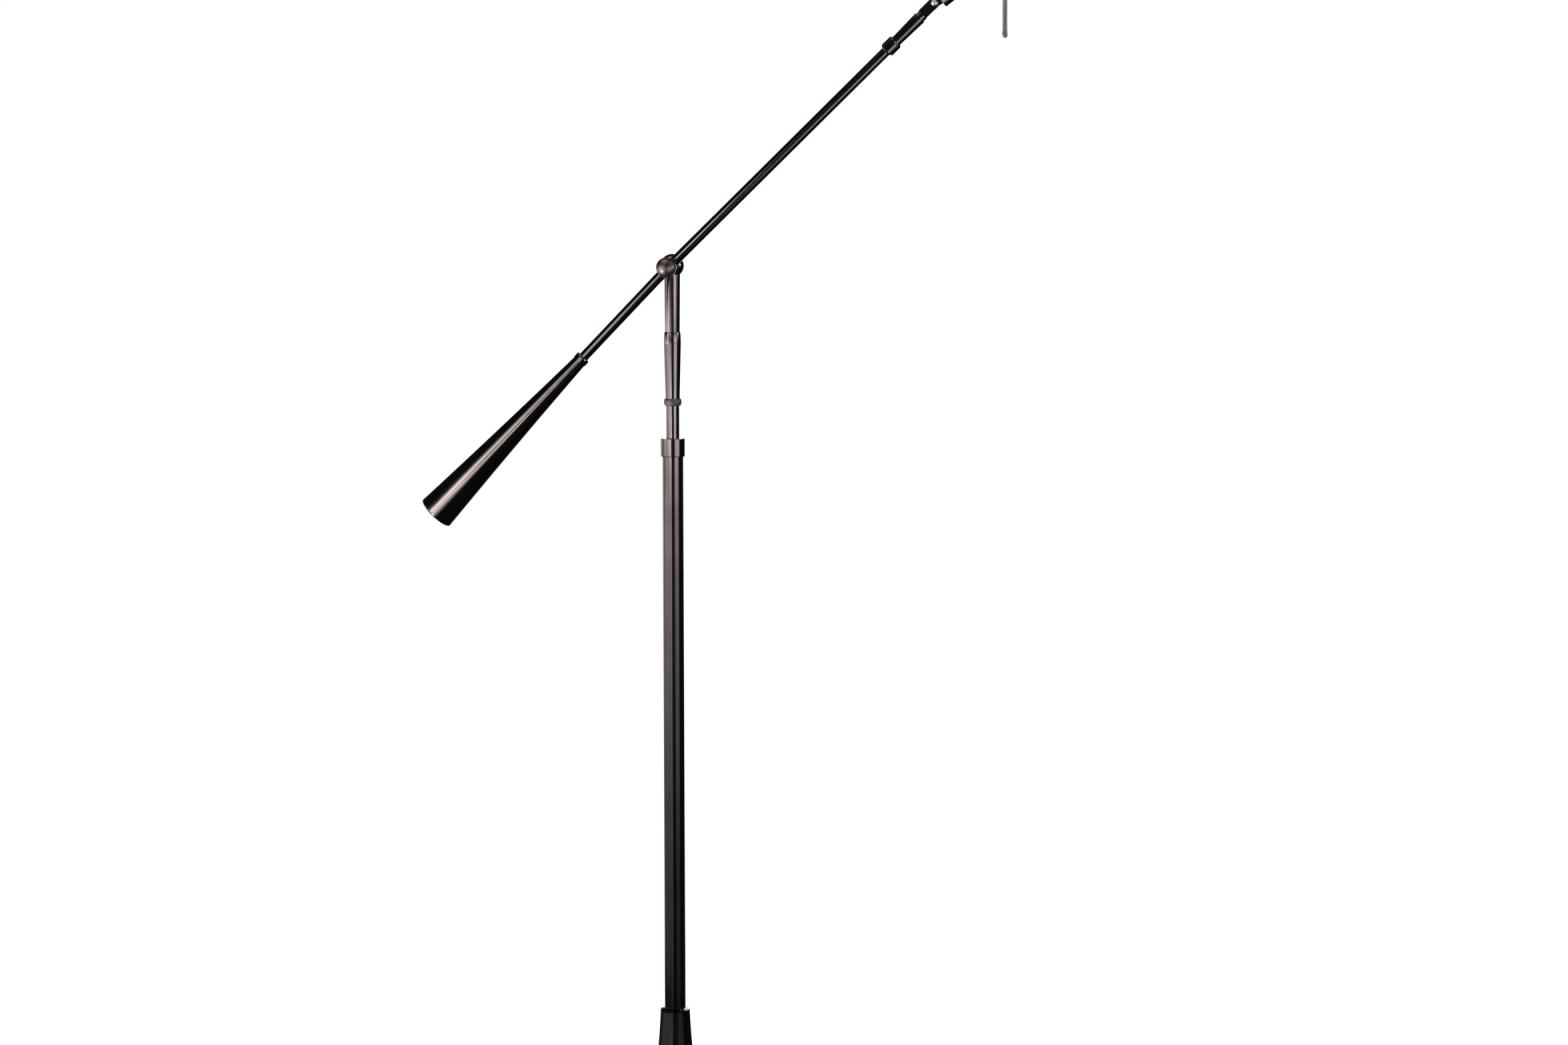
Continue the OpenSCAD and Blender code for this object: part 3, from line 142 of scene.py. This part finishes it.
def make_camera():
    data = bpy.data.cameras.new("camera")
    data.lens = CAM_LENS
    data.sensor_width = CAM_SENSOR
    data.sensor_fit = "HORIZONTAL"
    data.clip_start = CAM_NEAR
    cam = bpy.data.objects.new("camera", data)
    scene.collection.objects.link(cam)
    right = Vector((math.cos(CAM_AZIMUTH), math.sin(CAM_AZIMUTH), 0.0))
    ahead = Vector((
        -math.sin(CAM_AZIMUTH) * math.cos(CAM_PITCH),
        math.cos(CAM_AZIMUTH) * math.cos(CAM_PITCH),
        -math.sin(CAM_PITCH),
    ))
    up = right.cross(ahead)
    side = right * math.cos(CAM_ROLL) + up * math.sin(CAM_ROLL)
    top = up * math.cos(CAM_ROLL) - right * math.sin(CAM_ROLL)
    turn = Matrix((side, top, -ahead)).transposed().to_4x4()
    cam.matrix_world = Matrix.Translation(CAM_AT) @ turn
    scene.camera = cam


class Nodes:
    """A short way to write the nodes of a material or the world."""

    def __init__(self, tree):
        self.tree = tree

    def add(self, kind, **values):
        node = self.tree.nodes.new(kind)
        for name, value in values.items():
            setattr(node, name, value)
        return node

    def link(self, out, into):
        self.tree.links.new(out, into)

    def put(self, socket, value):
        if isinstance(value, bpy.types.NodeSocket):
            self.link(value, socket)
        else:
            socket.default_value = value

    def math(self, operation, *values):
        node = self.add("ShaderNodeMath", operation=operation)
        for socket, value in zip(node.inputs, values):
            self.put(socket, value)
        return node.outputs[0]

    def measure(self, operation, *vectors):
        """A vector operation that gives a number."""
        node = self.add("ShaderNodeVectorMath", operation=operation)
        for socket, vector in zip(node.inputs, vectors):
            self.put(socket, vector)
        return node.outputs["Value"]

    def split(self, vector):
        node = self.add("ShaderNodeSeparateXYZ")
        self.link(vector, node.inputs[0])
        return node.outputs

    def noise(self, vector, scale, detail=2.0, rough=0.5):
        node = self.add("ShaderNodeTexNoise")
        self.link(vector, node.inputs["Vector"])
        node.inputs["Scale"].default_value = scale
        node.inputs["Detail"].default_value = detail
        node.inputs["Roughness"].default_value = rough
        return node.outputs["Fac"]

    def stretch(self, vector, scale):
        node = self.add("ShaderNodeMapping")
        self.link(vector, node.inputs["Vector"])
        node.inputs["Scale"].default_value = scale
        return node.outputs["Vector"]

    def turn(self, vector, angle):
        node = self.add("ShaderNodeMapping")
        self.link(vector, node.inputs["Vector"])
        node.inputs["Rotation"].default_value = (0.0, 0.0, angle)
        return node.outputs["Vector"]

    def ramp(self, value, stops):
        """A colour that changes along (place, colour) stops."""
        node = self.add("ShaderNodeValToRGB")
        self.link(value, node.inputs["Fac"])
        points = node.color_ramp.elements
        while len(points) < len(stops):
            points.new(0.5)
        for point, (place, colour) in zip(points, stops):
            point.position = place
            point.color = (*colour, 1.0)
        return node.outputs["Color"]

    def fade(self, value, stops):
        """A share that changes along (place, share) stops."""
        return self.ramp(value, [(place, (share, share, share)) for place, share in stops])

    def between(self, value, low, high):
        node = self.add("ShaderNodeMapRange")
        self.link(value, node.inputs["Value"])
        node.inputs["To Min"].default_value = low
        node.inputs["To Max"].default_value = high
        return node.outputs["Result"]

    def bump(self, height, strength, distance):
        node = self.add("ShaderNodeBump")
        self.link(height, node.inputs["Height"])
        node.inputs["Strength"].default_value = strength
        node.inputs["Distance"].default_value = distance
        return node.outputs["Normal"]

    def object_coords(self):
        return self.add("ShaderNodeTexCoord").outputs["Object"]

    def front(self, geometry):
        """1 on a sheet's front and 0 on its back."""
        return self.math("SUBTRACT", 1.0, geometry.outputs["Backfacing"])

    def mix(self, share, first, second):
        node = self.add("ShaderNodeMixShader")
        self.link(share, node.inputs["Fac"])
        self.link(first.outputs[0], node.inputs[1])
        self.link(second.outputs[0], node.inputs[2])
        return node.outputs[0]


def new_material(name):
    mat = bpy.data.materials.new(name)
    mat.use_nodes = True
    shader = mat.node_tree.nodes["Principled BSDF"]
    return mat, Nodes(mat.node_tree), shader


def empty_material(name):
    mat = bpy.data.materials.new(name)
    mat.use_nodes = True
    mat.node_tree.nodes.clear()
    n = Nodes(mat.node_tree)
    return mat, n, n.add("ShaderNodeNewGeometry")


def set_sockets(shader, values):
    """Numbers that are the same all over a surface, straight on the shader."""
    for name, value in values.items():
        shader.inputs[name].default_value = value


def metal(name, dark, light, rough, patch=38.0, grain=120.0, coat=0.0, lift=0.00001, metallic=1.0):
    """A metal whose colour and gloss change softly over its surface, with fine polishing marks."""
    mat, n, shader = new_material(name)
    where = n.object_coords()
    cloud = n.noise(where, patch, detail=4.0, rough=0.55)
    marks = n.noise(n.stretch(where, MARK_STRETCH), grain, detail=1.0)
    n.link(n.ramp(cloud, [(0.32, dark), (0.70, light)]), shader.inputs["Base Color"])
    cloud_gloss = n.math("MULTIPLY", cloud, 1.0 - MARK_SHARE)
    gloss = n.math("MULTIPLY_ADD", marks, MARK_SHARE, cloud_gloss)
    n.link(n.between(gloss, *rough), shader.inputs["Roughness"])
    set_sockets(shader, {"Metallic": metallic, "Coat Weight": coat, "Coat Roughness": 0.10})
    n.link(n.bump(marks, strength=0.15, distance=lift), shader.inputs["Normal"])
    return mat


def plastic(name, dark, light, rough, lift=0.00003, coat=0.0):
    """Rubber, nylon or moulded resin: a faint clouding and a fine moulded grain."""
    mat, n, shader = new_material(name)
    where = n.object_coords()
    cloud = n.noise(where, scale=120.0, detail=3.0)
    skin = n.noise(where, scale=1500.0)
    n.link(n.ramp(cloud, [(0.30, dark), (0.70, light)]), shader.inputs["Base Color"])
    n.link(n.between(skin, *rough), shader.inputs["Roughness"])
    set_sockets(shader, {"Coat Weight": coat})
    n.link(n.bump(skin, strength=0.3, distance=lift), shader.inputs["Normal"])
    return mat


def frosted_glass(name, dark, light, rough):
    """A bulb's diffuser: milky, softly glossy, a little light passes into it."""
    mat, n, shader = new_material(name)
    where = n.object_coords()
    cloud = n.noise(where, scale=60.0)
    frost = n.noise(where, scale=2600.0, detail=1.0)
    n.link(n.ramp(cloud, [(0.3, dark), (0.7, light)]), shader.inputs["Base Color"])
    n.link(n.between(frost, *rough), shader.inputs["Roughness"])
    set_sockets(shader, {"Subsurface Weight": 0.25, "Subsurface Scale": 0.004})
    n.link(n.bump(frost, strength=0.12, distance=0.00002), shader.inputs["Normal"])
    return mat


def around_shade(n):
    """Distance round the shade and height as one vector, for a weave that wraps it."""
    at = n.split(n.object_coords())
    turn = n.math("ARCTAN2", at["X"], n.math("MULTIPLY", at["Y"], -1.0))
    join = n.add("ShaderNodeCombineXYZ")
    n.link(n.math("MULTIPLY", turn, WEAVE_RADIUS), join.inputs[0])
    n.link(at["Z"], join.inputs[1])
    return join.outputs[0]


def linen(name, dark, light, pitch, bias=False):
    """Plain-weave linen: crossing threads, thick and thin yarns, slubs, a soft sheen."""
    mat, n, shader = new_material(name)
    where = around_shade(n)
    if bias:
        where = n.turn(where, BIAS_ANGLE)
    at = n.split(where)
    wander = n.math("MULTIPLY", n.noise(where, WANDER_SCALE), 0.5 * pitch)

    def threads(place):
        turns = 2.0 * math.pi / pitch
        return n.math("SINE", n.math("MULTIPLY", n.math("ADD", place, wander), turns))

    weave = n.math("MULTIPLY", threads(at["Y"]), threads(at["X"]))
    along, across = YARN_SCALE
    yarns_along = n.noise(n.stretch(where, (along, across, 1.0)), 1.0, detail=3.0, rough=0.6)
    yarns_up = n.noise(n.stretch(where, (across, along, 1.0)), 1.0, detail=3.0, rough=0.6)
    yarns = n.math("MULTIPLY", n.math("ADD", yarns_along, yarns_up), 0.5)
    slubs = n.noise(n.stretch(where, (*SLUB_SCALE, 1.0)), 1.0, detail=1.0, rough=0.4)
    slubs = n.math("POWER", slubs, 3.0)
    tone = n.math("MULTIPLY_ADD", weave, 0.10, yarns)
    tone = n.math("MULTIPLY_ADD", slubs, -0.35, tone)
    n.link(n.ramp(tone, [(0.28, dark), (0.58, light)]), shader.inputs["Base Color"])
    n.link(n.between(yarns, 0.78, 0.95), shader.inputs["Roughness"])
    set_sockets(shader, {
        "Sheen Weight": 0.25,
        "Sheen Roughness": 0.5,
        "Specular IOR Level": 0.25,
    })
    height = n.math("MULTIPLY_ADD", slubs, 1.2, yarns)
    height = n.math("MULTIPLY_ADD", weave, 0.30, height)
    n.link(n.bump(height, strength=0.55, distance=0.00018), shader.inputs["Normal"])
    return mat


# Each finish from its darker to its lighter tone, with the range of its roughness
BRONZE_DARK = (0.116, 0.099, 0.094)
BRONZE_LIGHT = (0.144, 0.125, 0.119)
BRONZE = metal("bronze_polished", BRONZE_DARK, BRONZE_LIGHT, (0.10, 0.15))
BRONZE_BEAD = metal("bronze_bead", BRONZE_DARK, BRONZE_LIGHT, (0.55, 0.62))
BRONZE_KNOB = metal("bronze_knob", (0.130, 0.105, 0.098), (0.168, 0.138, 0.129), (0.37, 0.42))
BRONZE_BAR = metal("bronze_satin", (0.152, 0.150, 0.148), (0.190, 0.188, 0.186), (0.36, 0.50))
STEEL = metal("steel_zinc", (0.42, 0.42, 0.43), (0.56, 0.56, 0.57), (0.26, 0.40))
IRON = metal(
    "cast_iron", (0.055, 0.052, 0.050), (0.095, 0.090, 0.086), (0.55, 0.75),
    patch=90.0, grain=700.0, lift=0.0004, metallic=0.6,
)
BRASS = metal("brass_satin", (0.54, 0.39, 0.17), (0.66, 0.49, 0.24), (0.24, 0.38), coat=0.1)
BULB_METAL = metal("bulb_cap_nickel", (0.58, 0.57, 0.55), (0.68, 0.67, 0.65), (0.24, 0.36))
RUBBER = plastic(
    "pad_rubber_black", (0.014, 0.014, 0.014), (0.026, 0.026, 0.026), (0.60, 0.80), lift=0.00012,
)
NYLON = plastic("nylon_black", (0.018, 0.017, 0.016), (0.030, 0.028, 0.027), (0.34, 0.48))
PHENOLIC = plastic(
    "phenolic_black", (0.012, 0.011, 0.010), (0.024, 0.021, 0.019), (0.28, 0.42), coat=0.1,
)
DIFFUSER = frosted_glass("bulb_frosted", (0.86, 0.85, 0.82), (0.91, 0.90, 0.88), (0.30, 0.42))
LINEN = linen("linen_cover", (0.70, 0.67, 0.60), (0.87, 0.85, 0.79), pitch=0.0009)
TAPE = linen("linen_tape", (0.66, 0.63, 0.56), (0.84, 0.82, 0.76), pitch=0.0008, bias=True)
LINER = plastic("liner_styrene", (0.84, 0.83, 0.80), (0.89, 0.88, 0.86), (0.45, 0.60))

SLOT_MATERIAL = {
    "bronze": BRONZE,
    "weight_iron": IRON,
    "pad_rubber": RUBBER,
    "steel": STEEL,
    "nylon": NYLON,
    "brass": BRASS,
    "phenolic": PHENOLIC,
    "bulb_metal": BULB_METAL,
    "bulb_diffuser": DIFFUSER,
    "linen": LINEN,
}

# Nodes whose finish differs from that of their slot
OWN_MATERIAL = {
    "ball_knob": BRONZE_KNOB,
    "bead_ring": BRONZE_BEAD,
    "neck_washer": BRONZE,
    "pull_bar": BRONZE_BAR,
}


def dress_cad_nodes():
    for name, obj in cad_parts.items():
        slot_name = obj.data.materials[0].name.split(".")[0]
        obj.material_slots[0].material = OWN_MATERIAL.get(name, SLOT_MATERIAL[slot_name])


def shade_piece(name, points, faces, material):
    """A smooth mesh round the shade's axis, sharp only at its folds."""
    mesh = bpy.data.meshes.new(name)
    mesh.from_pydata(points, [], faces)
    mesh.update()
    mesh.polygons.foreach_set("use_smooth", [True] * len(mesh.polygons))
    mesh.set_sharp_from_angle(angle=SHARP_ANGLE)
    mesh.materials.append(material)
    obj = bpy.data.objects.new(name, mesh)
    obj.location = (SHADE_X, SHADE_Y, 0.0)
    scene.collection.objects.link(obj)
    return obj


def turned_piece(name, section, material):
    """A closed section of (radius, height) points turned round the shade's axis.

    section is a function of the step round the axis, so the form can change a little on its way."""
    points = []
    faces = []
    count = len(section(0))
    for i in range(SHADE_SEGMENTS):
        angle = 2.0 * math.pi * i / SHADE_SEGMENTS + math.pi / 2.0
        for radius, height in section(i):
            points.append((radius * math.cos(angle), radius * math.sin(angle), height))
    for i in range(SHADE_SEGMENTS):
        here = i * count
        after = ((i + 1) % SHADE_SEGMENTS) * count
        for k in range(count):
            k2 = (k + 1) % count
            faces.append((here + k, after + k, after + k2, here + k2))
    return shade_piece(name, points, faces, material)


def make_shade():
    """The linen cover with its liner, edge tapes and lap seam, which stand for the solid wall."""
    low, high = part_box("shade_wall_cloth")
    z_low, z_high = low.z, high.z
    r_low = (high.x - low.x) / 2.0
    upper_low, upper_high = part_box("shade_spider")
    r_high = (upper_high.x - upper_low.x) / 2.0 + SHADE_WALL
    lower_low, lower_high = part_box("shade_lower_ring")
    wire = (lower_high.z - lower_low.z) / 2.0
    slope = (r_high - r_low) / (z_high - z_low)
    wave = [random.uniform(-1.0, 1.0) for _ in range(SHADE_SEGMENTS)]
    steps = range(SHADE_ROWS + 1)
    rows = [z_low + (z_high - z_low) * k / SHADE_ROWS for k in steps]

    def radius_at(z):
        return r_low + slope * (z - z_low)

    def cover_section(i):
        soft = COVER_BOW * math.sin(2.0 * math.pi * COVER_WAVES * i / SHADE_SEGMENTS)
        bow = [soft * math.sin(math.pi * k / SHADE_ROWS) for k in steps]
        outer = [(radius_at(z) + b, z) for z, b in zip(rows, bow)]
        inner = [(radius_at(z) - COVER_THICK + b, z) for z, b in zip(rows, bow)]
        return outer + inner[::-1]

    def liner_section(i):
        outer = [(radius_at(z) - COVER_THICK - LINER_GAP, z) for z in rows[1:-1]]
        inner = [(radius_at(z) - SHADE_WALL, z) for z in rows[1:-1]]
        return outer + inner[::-1]

    def tape_section(edge, sign):
        """A folded tape: up outside, round the edge and its wire, and back to the wall.

        The numbers are shares of its thickness, of its width outside and of the wire's radius."""
        t = TAPE_THICK
        out = radius_at(edge) + t
        back = radius_at(edge) - SHADE_WALL
        tuck = sign * (2.0 * wire + 2.2 * t)
        far = sign * TAPE_OUTSIDE

        def section(i):
            pucker = TAPE_PUCKER * wave[i]
            return [
                (out - t + slope * far, edge + far),
                (out - 0.3 * t + slope * far + pucker, edge + far + sign * 0.2 * t),
                (out + slope * far + pucker, edge + far - sign * 0.8 * t),
                (out + slope * 0.5 * far - 0.5 * pucker, edge + 0.5 * far),
                (out + slope * 0.1 * far + 0.15 * t, edge + 0.1 * far),
                (out - 0.2 * t, edge - sign * 0.5 * t),
                (out - 1.2 * t, edge - sign * t),
                (back - wire, edge - sign * t),
                (back - 1.7 * wire, edge - sign * 0.6 * t),
                (back - 2.0 * wire - t, edge + sign * wire),
                (back - 1.7 * wire - 0.5 * t, edge + sign * 1.8 * wire),
                (back - wire + pucker, edge + sign * (2.0 * wire + t)),
                (back - 0.4 * wire, edge + tuck + sign * 0.6 * t),
                (back + slope * tuck + 0.2 * t, edge + tuck + sign * 1.2 * t),
                (back + slope * tuck + 0.2 * t, edge + tuck),
                (back + 0.2 * t, edge + sign * 0.4 * t),
                (out - t, edge + sign * 0.3 * t),
                (out - t + slope * 0.5 * far, edge + 0.5 * far),
            ]
        return section

    cover = turned_piece("shade_cover", cover_section, LINEN)
    liner = turned_piece("shade_liner", liner_section, LINER)
    tape_low = turned_piece("shade_tape_lower", tape_section(z_low, 1.0), TAPE)
    tape_high = turned_piece("shade_tape_upper", tape_section(z_high, -1.0), TAPE)
    seam = make_lap_seam(radius_at, z_low, z_high)
    for piece in (cover, liner, tape_low, tape_high, seam):
        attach(piece, "head")
    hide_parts("shade_wall_cloth")


def make_lap_seam(radius_at, z_low, z_high):
    """The lap at the back of the shade where the two ends of the cover are glued."""
    across = SEAM_ACROSS
    up = SEAM_UP
    points = []
    faces = []
    for k in range(up + 1):
        z = z_low + SEAM_INSET + (z_high - z_low - 2.0 * SEAM_INSET) * k / up
        for outside in (False, True):
            for j in range(across + 1):
                share = j / across * 2.0 - 1.0
                angle = math.pi / 2.0 + share * SEAM_HALF / radius_at(z)
                lift = SEAM_RISE * (1.0 - abs(share) ** 8) if outside else -SEAM_SINK
                r = radius_at(z) + lift
                points.append((r * math.cos(angle), r * math.sin(angle), z))
    row = 2 * (across + 1)
    for k in range(up):
        for j in range(across):
            a = k * row + j
            b = a + row
            faces.append((a + 1, a, b, b + 1))
            c = a + across + 1
            d = c + row
            faces.append((c, c + 1, d + 1, d))
        for j, flip in ((0, False), (across, True)):
            a = k * row + j
            c = a + across + 1
            quad = (a, c, c + row, a + row)
            faces.append(quad[::-1] if flip else quad)
    for k, flip in ((0, False), (up, True)):
        for j in range(across):
            a = k * row + j
            c = a + across + 1
            quad = (a, a + 1, c + 1, c)
            faces.append(quad[::-1] if flip else quad)
    return shade_piece("shade_lap_seam", points, faces, LINEN)


def panel_axes(centre, target):
    """The directions across and up a flat panel that faces a point."""
    facing = (Vector(target) - Vector(centre)).normalized()
    across = Vector((0.0, 0.0, 1.0)).cross(facing)
    if across.length < 0.001:
        across = Vector((1.0, 0.0, 0.0))
    across.normalize()
    return across, facing.cross(across)


def panel(name, centre, target, width, height):
    """A flat panel that faces a point, upright or lying."""
    centre = Vector(centre)
    across, up = panel_axes(centre, target)
    corners = [
        centre + across * (sx * width / 2.0) + up * (sz * height / 2.0)
        for sx, sz in ((-1, -1), (1, -1), (1, 1), (-1, 1))
    ]
    mesh = bpy.data.meshes.new(name)
    mesh.from_pydata([tuple(c) for c in corners], [], [(0, 1, 2, 3)])
    mesh.update()
    obj = bpy.data.objects.new(name, mesh)
    scene.collection.objects.link(obj)
    return obj


def shine(obj, mat, n, geometry, strength, cover, tint=WHITE):
    """Light from a panel's front that only reflections show, clear where cover is 0 and behind."""
    emission = n.add("ShaderNodeEmission")
    emission.inputs["Color"].default_value = (*tint, 1.0)
    n.put(emission.inputs["Strength"], strength)
    clear = n.add("ShaderNodeBsdfTransparent")
    share = n.math("MULTIPLY", cover, n.front(geometry))
    out = n.add("ShaderNodeOutputMaterial")
    n.link(n.mix(share, clear, emission), out.inputs["Surface"])
    obj.data.materials.append(mat)
    obj.visible_camera = False
    obj.visible_diffuse = False
    obj.visible_shadow = False


def soft_box(name, centre, target, width, height, strength, glow, sides, top, tilt=0.0):
    """A studio light panel that glows by height and fades at its sides, as polished metal shows it.

    glow has (height, share of strength), and sides has (share of the width, share of strength).
    The width counts from the end nearer to +X, seen from the lamp, and the glow rises by tilt from
    there to the other end. The panel clears between the two heights of top."""
    obj = panel(name, centre, target, width, height)
    across, _ = panel_axes(centre, target)
    mat, n, geometry = empty_material(name)
    where = geometry.outputs["Position"]
    along = n.measure("DOT_PRODUCT", where, across / width)
    share = n.math("ADD", along, 0.5 - Vector(centre).dot(across) / width)
    level = n.math("MULTIPLY_ADD", share, -tilt, n.split(where)["Z"])
    level = n.math("DIVIDE", level, GLOW_SPAN)
    bright = n.fade(level, [(z / GLOW_SPAN, v) for z, v in glow])
    below = n.fade(level, [(top[0] / GLOW_SPAN, 1.0), (top[1] / GLOW_SPAN, 0.0)])
    cover = n.math("MULTIPLY", n.fade(share, sides), below)
    shine(obj, mat, n, geometry, n.math("MULTIPLY", bright, strength), cover)


def soft_disc(name, centre, target, radius, strength, tint=WHITE):
    """A round glow that fades towards its rim, for the small lights that polished metal shows."""
    obj = panel(name, centre, target, 2.0 * radius, 2.0 * radius)
    mat, n, geometry = empty_material(name)
    away = n.measure("DISTANCE", geometry.outputs["Position"], centre)
    cover = n.fade(n.math("DIVIDE", away, radius), DISC_FADE)
    shine(obj, mat, n, geometry, strength, cover, tint)


def make_world():
    """A white ground where the camera looks past the lamp, and a dim room for all other rays."""
    world = bpy.data.worlds.new("studio")
    world.use_nodes = True
    scene.world = world
    n = Nodes(world.node_tree)
    world.node_tree.nodes.clear()
    ground = n.add("ShaderNodeBackground")
    ground.inputs["Color"].default_value = GROUND_COLOUR
    room = n.add("ShaderNodeBackground")
    room.inputs["Color"].default_value = ROOM_COLOUR
    path = n.add("ShaderNodeLightPath")
    out = n.add("ShaderNodeOutputWorld")
    n.link(n.mix(path.outputs["Is Camera Ray"], room, ground), out.inputs["Surface"])


def make_lights():
    """The panels and round lights that the bronze reflects."""
    soft_box(
        "light_left", centre=(-0.54, -1.0, 0.85), target=(-0.10, 0.0, 0.85),
        width=0.93, height=1.7, strength=7.0, glow=GLOW_LEFT,
        sides=[(0.0, 0.0), (0.05, 0.9), (0.12, 1.0), (0.45, 0.8), (0.75, 0.25), (1.0, 0.0)],
        top=(0.95, 1.01), tilt=0.05,
    )
    soft_box(
        "light_left_low", centre=(-1.15, -0.45, 0.60), target=(0.0, -0.10, 0.60),
        width=1.80, height=1.2, strength=8.0, glow=GLOW_LEFT_LOW,
        sides=[(0.0, 1.0), (0.85, 1.0), (1.0, 0.0)],
        top=(1.0, 1.08),
    )
    soft_box(
        "light_right", centre=(0.84, -0.68, 0.85), target=(0.0, 0.0, 0.85),
        width=1.05, height=1.7, strength=6.3, glow=GLOW_RIGHT,
        sides=[(0.0, 0.0), (0.2, 0.9), (0.45, 1.0), (0.82, 0.9), (1.0, 0.0)],
        top=(1.3, 1.6),
    )
    soft_box(
        "light_left_far", centre=(-1.45, -2.05, 1.7), target=(-1.45, 0.0, 1.7),
        width=1.9, height=1.8, strength=7.0, glow=GLOW_LEFT_FAR,
        sides=[(0.0, 0.0), (0.10, 0.35), (0.27, 1.0), (0.47, 0.43), (0.71, 0.13), (1.0, 0.0)],
        top=(1.42, 1.52), tilt=1.52,
    )
    soft_box(
        "light_weight", centre=(-0.854, -1.164, 1.1), target=(-1.673, -0.590, 1.1),
        width=2.0, height=1.4, strength=6.3, glow=GLOW_WEIGHT,
        sides=[
            (0.0, 0.0), (0.025, 0.2), (0.09, 0.65), (0.14, 0.85), (0.23, 1.0), (0.87, 0.85),
            (1.0, 0.0),
        ],
        top=(0.82, 1.02), tilt=0.9,
    )
    soft_box(
        "light_rod", centre=(-0.277, -1.03, 1.25), target=(0.696, -1.258, 1.25),
        width=1.6, height=0.32, strength=9.0, glow=GLOW_ROD,
        sides=[(0.0, 0.0), (0.3, 1.0), (0.8, 1.0), (1.0, 0.0)],
        top=(1.2, 1.4),
    )
    soft_disc(
        "light_front", centre=(0.60, -2.6, 0.95), target=(0.0, 0.0, 0.95),
        radius=1.1, strength=0.11, tint=(1.0, 0.75, 0.65),
    )
    soft_disc(
        "light_over", centre=(-0.5, -0.4, 2.9), target=(-0.5, -0.4, 0.0),
        radius=1.3, strength=1.7,
    )
    soft_box(
        "light_back", centre=(0.0, 1.7, 0.85), target=(0.0, 0.0, 0.85),
        width=1.3, height=1.7, strength=3.0, glow=GLOW_BEHIND, sides=SIDES_BEHIND,
        top=(1.5, 1.7),
    )
    soft_box(
        "light_back_left", centre=(-1.23, 0.86, 0.85), target=(0.0, 0.0, 0.85),
        width=0.9, height=1.7, strength=1.6, glow=GLOW_BEHIND, sides=SIDES_BEHIND,
        top=(0.92, 1.08),
    )
    soft_disc(
        "light_left_high", centre=(-2.07, -1.4, 1.26), target=(0.0, 0.0, 1.1),
        radius=0.55, strength=8.0,
    )
    soft_disc(
        "light_side", centre=(1.20, 0.06, 1.27), target=(0.0, 0.0, 1.1),
        radius=0.28, strength=8.0,
    )
    soft_disc(
        "light_low_left", centre=(-1.10, -0.86, 0.15), target=(-1.37, -1.07, 1.09),
        radius=0.50, strength=85.0,
    )
    soft_disc(
        "light_low_right", centre=(1.0, -2.05, 0.12), target=(1.106, -2.2675, 1.09),
        radius=0.48, strength=9.0,
    )


def make_light_above():
    """The soft light from above that falls on the shade and the floor."""
    data = bpy.data.lights.new("light_above", "AREA")
    data.shape = "SQUARE"
    data.size = ABOVE_SIZE
    data.energy = ABOVE_WATTS
    obj = bpy.data.objects.new("light_above", data)
    obj.location = ABOVE_AT
    obj.visible_glossy = False
    scene.collection.objects.link(obj)


def make_floor():
    """A pale matt floor that fades into the white ground away from the lamp, clear from below."""
    floor = panel("floor", (0.0, 0.0, 0.0), (0.0, 0.0, 1.0), FLOOR_SIZE, FLOOR_SIZE)
    mat, n, shader = new_material("floor_pale")
    where = n.object_coords()
    cloud = n.noise(where, scale=3.0, detail=3.0)
    pale = n.fade(cloud, [(0.3, 0.90), (0.7, 0.93)])
    n.link(pale, shader.inputs["Base Color"])
    n.link(n.between(n.noise(where, scale=400.0), 0.75, 0.9), shader.inputs["Roughness"])
    share = n.math("DIVIDE", n.measure("LENGTH", where), FLOOR_SIZE / 2.0)
    near = n.fade(share, [(FLOOR_FADE, 1.0), (1.0, 0.0)])
    front = n.front(n.add("ShaderNodeNewGeometry"))
    n.link(n.math("MULTIPLY", near, front), shader.inputs["Alpha"])
    floor.data.materials.append(mat)
    floor.visible_glossy = False


def set_view():
    view = scene.view_settings
    view.view_transform = "Standard"
    view.look = "None"
    view.exposure = 0.0
    view.gamma = 1.0


make_camera()
dress_cad_nodes()
make_shade()
make_world()
make_lights()
make_light_above()
make_floor()
set_view()
